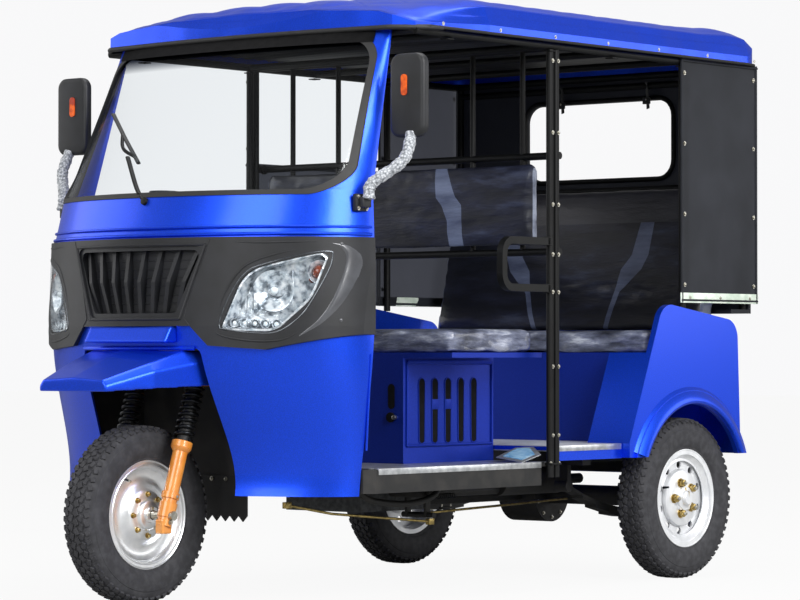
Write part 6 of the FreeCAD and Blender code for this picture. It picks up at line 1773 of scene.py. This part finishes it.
class RickshawDetails(bpy.types.PropertyGroup):
    """How fine the added pieces are."""
    tread_pitches: IntProperty(name="Tread pitches", description="Blocks round each tyre",
                               default=60, min=30, max=90)
    cushion_swell: FloatProperty(name="Cushion swell", unit="NONE", default=9.0, min=2.0,
                                 max=20.0, description="How far a cushion may puff out, in mm")


class RickshawStage(bpy.types.PropertyGroup):
    """The camera and the studio."""
    azimuth: FloatProperty(
        name="Azimuth", description="The camera's turn to the left of the nose",
        subtype="ANGLE", default=math.radians(39.85))
    rise: FloatProperty(name="Rise", description="How far the camera looks up",
                        subtype="ANGLE", default=math.radians(0.895))
    lens: FloatProperty(name="Lens", description="Focal length", default=147.7, unit="CAMERA")
    sun: FloatProperty(name="Key light", description="Power of the large soft light",
                       default=900.0, unit="POWER")


class RICKSHAW_OT_finishes(bpy.types.Operator):
    """Give every CAD node its finish"""
    bl_idname = "rickshaw.finishes"
    bl_label = "Finishes"

    def execute(self, context):
        make_finishes(context.scene.rickshaw_looks)
        for finish, names in NODE_FINISH.items():
            for name in names:
                mesh = frame["nodes"][name].data
                mesh.materials.clear()
                mesh.materials.append(FINISHES[finish])
        return {"FINISHED"}


class RICKSHAW_OT_wheels(bpy.types.Operator):
    """Make the treaded tyres and the wheels' dishes, nuts and valves"""
    bl_idname = "rickshaw.wheels"
    bl_label = "Wheels"

    def execute(self, context):
        pitches = context.scene.rickshaw_details.tread_pitches
        for node, body, centre in (("front_tyre", "front_wheel", FRONT_WHEEL),
                                   ("rear_tyre_left", "rear_wheel_left", REAR_LEFT),
                                   ("rear_tyre_right", "rear_wheel_right", REAR_RIGHT)):
            tread_tyre(f"{node}_treaded", node, body, centre, pitches)
        make_front_wheel()
        make_front_valve()
        make_rear_wheels()
        return {"FINISHED"}


class RICKSHAW_OT_fork(bpy.types.Operator):
    """Make the fork's coils, collars and drum plate, the handlebar's fittings and the pod"""
    bl_idname = "rickshaw.fork"
    bl_label = "Fork and handlebar"

    def execute(self, context):
        make_fork_collars()
        make_fork_coils()
        make_drum_plate()
        make_fork_yoke()
        make_handlebar_parts()
        make_instrument_pod()
        return {"FINISHED"}


class RICKSHAW_OT_seats(bpy.types.Operator):
    """Blow up the cushions and backs from their plain blocks"""
    bl_idname = "rickshaw.seats"
    bl_label = "Seats"

    def execute(self, context):
        swell = context.scene.rickshaw_details.cushion_swell
        for name in ("driver_cushion", "passenger_cushion"):
            cushion(f"{name}_padded", name, "seat_edge", swell, 12.0, (0.0, 10.0), 7.0)
        cushion("driver_backrest_padded", "driver_backrest", "vinyl_driver", swell, 12.0,
                (0.0, 0.0), 2.0)
        cushion("passenger_backrest_padded", "passenger_backrest", "vinyl_passenger", swell,
                12.0, (11.0, 0.0), 2.0)
        return {"FINISHED"}


class RICKSHAW_OT_curtains(bpy.types.Operator):
    """Hang the side curtains and the passengers' side guard"""
    bl_idname = "rickshaw.curtains"
    bl_label = "Curtains"

    def execute(self, context):
        for side in ("left", "right"):
            hung_panel(f"curtain_{side}_cloth", f"curtain_{side}", strip=True)
        hung_panel("side_guard_cloth", "side_guard_right")
        return {"FINISHED"}


class RICKSHAW_OT_front(bpy.types.Operator):
    """Make the lamps' internals, the creases, mirrors and wiper"""
    bl_idname = "rickshaw.front"
    bl_label = "Front end"

    def execute(self, context):
        make_lamp_parts()
        make_lamp_rims()
        make_belt_creases()
        make_fascia_creases()
        make_grille_trim()
        make_screen_trim()
        make_cowl_seams()
        make_mirror_shells()
        make_mirror_arms()
        make_wiper_parts()
        return {"FINISHED"}


class RICKSHAW_OT_body(bpy.types.Operator):
    """Make the roof's skin and lining, the mudguard, flares, floors, frames and fittings"""
    bl_idname = "rickshaw.body"
    bl_label = "Body"

    def execute(self, context):
        make_roof_skin()
        make_mudguard()
        make_fender_flares()
        make_roof_lip()
        make_visor_underside()
        make_roof_lining()
        make_seat_box_frames()
        make_floor_coverings()
        make_window_parts()
        make_post_parts()
        make_underbody_parts()
        make_tail_undercoat()
        make_flap_bolts()
        return {"FINISHED"}


# Each lamp's name, place, size in metres and share of the key light's power.
STUDIO_LIGHTS = (("key", (7.5, -2.0, 4.6), 4.0, 0.86), ("front", (1.0, -8.0, 4.4), 4.5, 0.44),
                 ("fill", (-7.0, -3.0, 3.0), 5.0, 0.18), ("side", (6.8, 7.0, 2.8), 4.0, 0.18),
                 ("top", (0.5, 0.5, 7.0), 5.0, 0.40))
STUDIO_AIM = Vector((0.0, 0.0, 0.9))
# The camera's place from the ground under the front axle.
CAMERA_PLACE = (7.029, -7.169, 0.769)


class RICKSHAW_OT_stage(bpy.types.Operator):
    """Set the floor, the lights, the world and the camera"""
    bl_idname = "rickshaw.stage"
    bl_label = "Stage"

    def execute(self, context):
        settings = context.scene.rickshaw_stage
        scene = context.scene
        scene.view_settings.view_transform = "Standard"
        self.floor()
        self.world(scene)
        self.lights(settings)
        self.camera(scene, settings)
        return {"FINISHED"}

    def floor(self):
        """A matt floor that the camera sees almost white; its shadows stay a little."""
        bm = bmesh.new()
        bmesh.ops.create_grid(bm, x_segments=1, y_segments=1, size=40.0)
        mesh = bpy.data.meshes.new("studio_floor")
        bm.to_mesh(mesh)
        bm.free()
        floor = bpy.data.objects.new("studio_floor", mesh)
        bpy.context.collection.objects.link(floor)
        f = Finish("studio_floor", Roughness=0.9, Specular_IOR_Level=0.1)
        f.colour(f.noise(900.0), [(0.3, linear("#a3a3a1")), (0.7, linear("#ababa9"))])
        lit = add_node(f.tree, "ShaderNodeEmission", {"Color": linear("#ffffff"),
                                                      "Strength": 1.0})
        path = add_node(f.tree, "ShaderNodeLightPath")
        share = f.math("MULTIPLY", path.outputs["Is Camera Ray"], 0.93)
        f.show(share, f.shader.outputs[0], lit.outputs[0])
        mesh.materials.append(f.material)

    def world(self, scene):
        """White to the camera and through glass, a dimmer grey as light and in gloss."""
        world = bpy.data.worlds.new("studio_world")
        scene.world = world
        world.use_nodes = True
        tree = world.node_tree
        sky = tree.nodes["Background"]
        path = add_node(tree, "ShaderNodeLightPath")
        dim, extra, in_gloss = 0.24, 0.72, 0.12
        seen = add_node(tree, "ShaderNodeMath", {"operation": "MAXIMUM"},
                        {0: path.outputs["Is Camera Ray"], 1: path.outputs["Is Transmission Ray"]})
        gleam = add_node(tree, "ShaderNodeMath", {"operation": "MULTIPLY", 1: in_gloss},
                         {0: path.outputs["Is Glossy Ray"]})
        either = add_node(tree, "ShaderNodeMath", {"operation": "MAXIMUM"},
                          {0: seen.outputs[0], 1: gleam.outputs[0]})
        shine = add_node(tree, "ShaderNodeMath",
                         {"operation": "MULTIPLY_ADD", 1: extra, 2: dim},
                         {0: either.outputs[0]})
        sky.inputs["Color"].default_value = linear("#fdfdfe")
        tree.links.new(shine.outputs[0], sky.inputs["Strength"])

    def lights(self, settings):
        """Large soft lamps round the vehicle, all aimed at its middle."""
        for name, place, size, share in STUDIO_LIGHTS:
            lamp = bpy.data.lights.new(f"{name}_light", "AREA")
            lamp.size = size
            lamp.energy = settings.sun * share
            light = bpy.data.objects.new(f"{name}_light", lamp)
            light.location = place
            way = STUDIO_AIM - Vector(place)
            light.rotation_euler = way.to_track_quat("-Z", "Y").to_euler()
            bpy.context.collection.objects.link(light)

    def camera(self, scene, settings):
        """The photograph's camera, turned left of the nose and a little upwards."""
        view = bpy.data.cameras.new("photo_camera")
        view.lens = settings.lens
        view.clip_end = 100.0
        camera = bpy.data.objects.new("photo_camera", view)
        x, behind_axle, z = CAMERA_PLACE
        camera.location = (x, behind_axle + FRONT_WHEEL.y, z)
        ahead = Vector((-math.sin(settings.azimuth) * math.cos(settings.rise),
                        math.cos(settings.azimuth) * math.cos(settings.rise),
                        math.sin(settings.rise)))
        camera.rotation_euler = ahead.to_track_quat("-Z", "Y").to_euler()
        bpy.context.collection.objects.link(camera)
        scene.camera = camera


OPERATORS = (RICKSHAW_OT_finishes, RICKSHAW_OT_wheels, RICKSHAW_OT_fork, RICKSHAW_OT_seats,
             RICKSHAW_OT_curtains, RICKSHAW_OT_front, RICKSHAW_OT_body, RICKSHAW_OT_stage)
GROUPS = (RickshawLooks, RickshawDetails, RickshawStage)


class RICKSHAW_PT_panel(bpy.types.Panel):
    """Lists the operators in the sidebar"""
    bl_label = "Auto rickshaw"
    bl_idname = "RICKSHAW_PT_panel"
    bl_space_type = "VIEW_3D"
    bl_region_type = "UI"
    bl_category = "Rickshaw"

    def draw(self, context):
        for operator in OPERATORS:
            self.layout.operator(operator.bl_idname)


def register():
    for group in (*GROUPS, *OPERATORS, RICKSHAW_PT_panel):
        bpy.utils.register_class(group)
    bpy.types.Scene.rickshaw_looks = PointerProperty(type=RickshawLooks)
    bpy.types.Scene.rickshaw_details = PointerProperty(type=RickshawDetails)
    bpy.types.Scene.rickshaw_stage = PointerProperty(type=RickshawStage)


def unregister():
    del bpy.types.Scene.rickshaw_looks
    del bpy.types.Scene.rickshaw_details
    del bpy.types.Scene.rickshaw_stage
    for group in reversed((*GROUPS, *OPERATORS, RICKSHAW_PT_panel)):
        bpy.utils.unregister_class(group)


def main():
    register()
    for operator in OPERATORS:
        group, name = operator.bl_idname.split(".")
        getattr(getattr(bpy.ops, group), name)()
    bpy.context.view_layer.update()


if __name__ == "__main__":
    main()
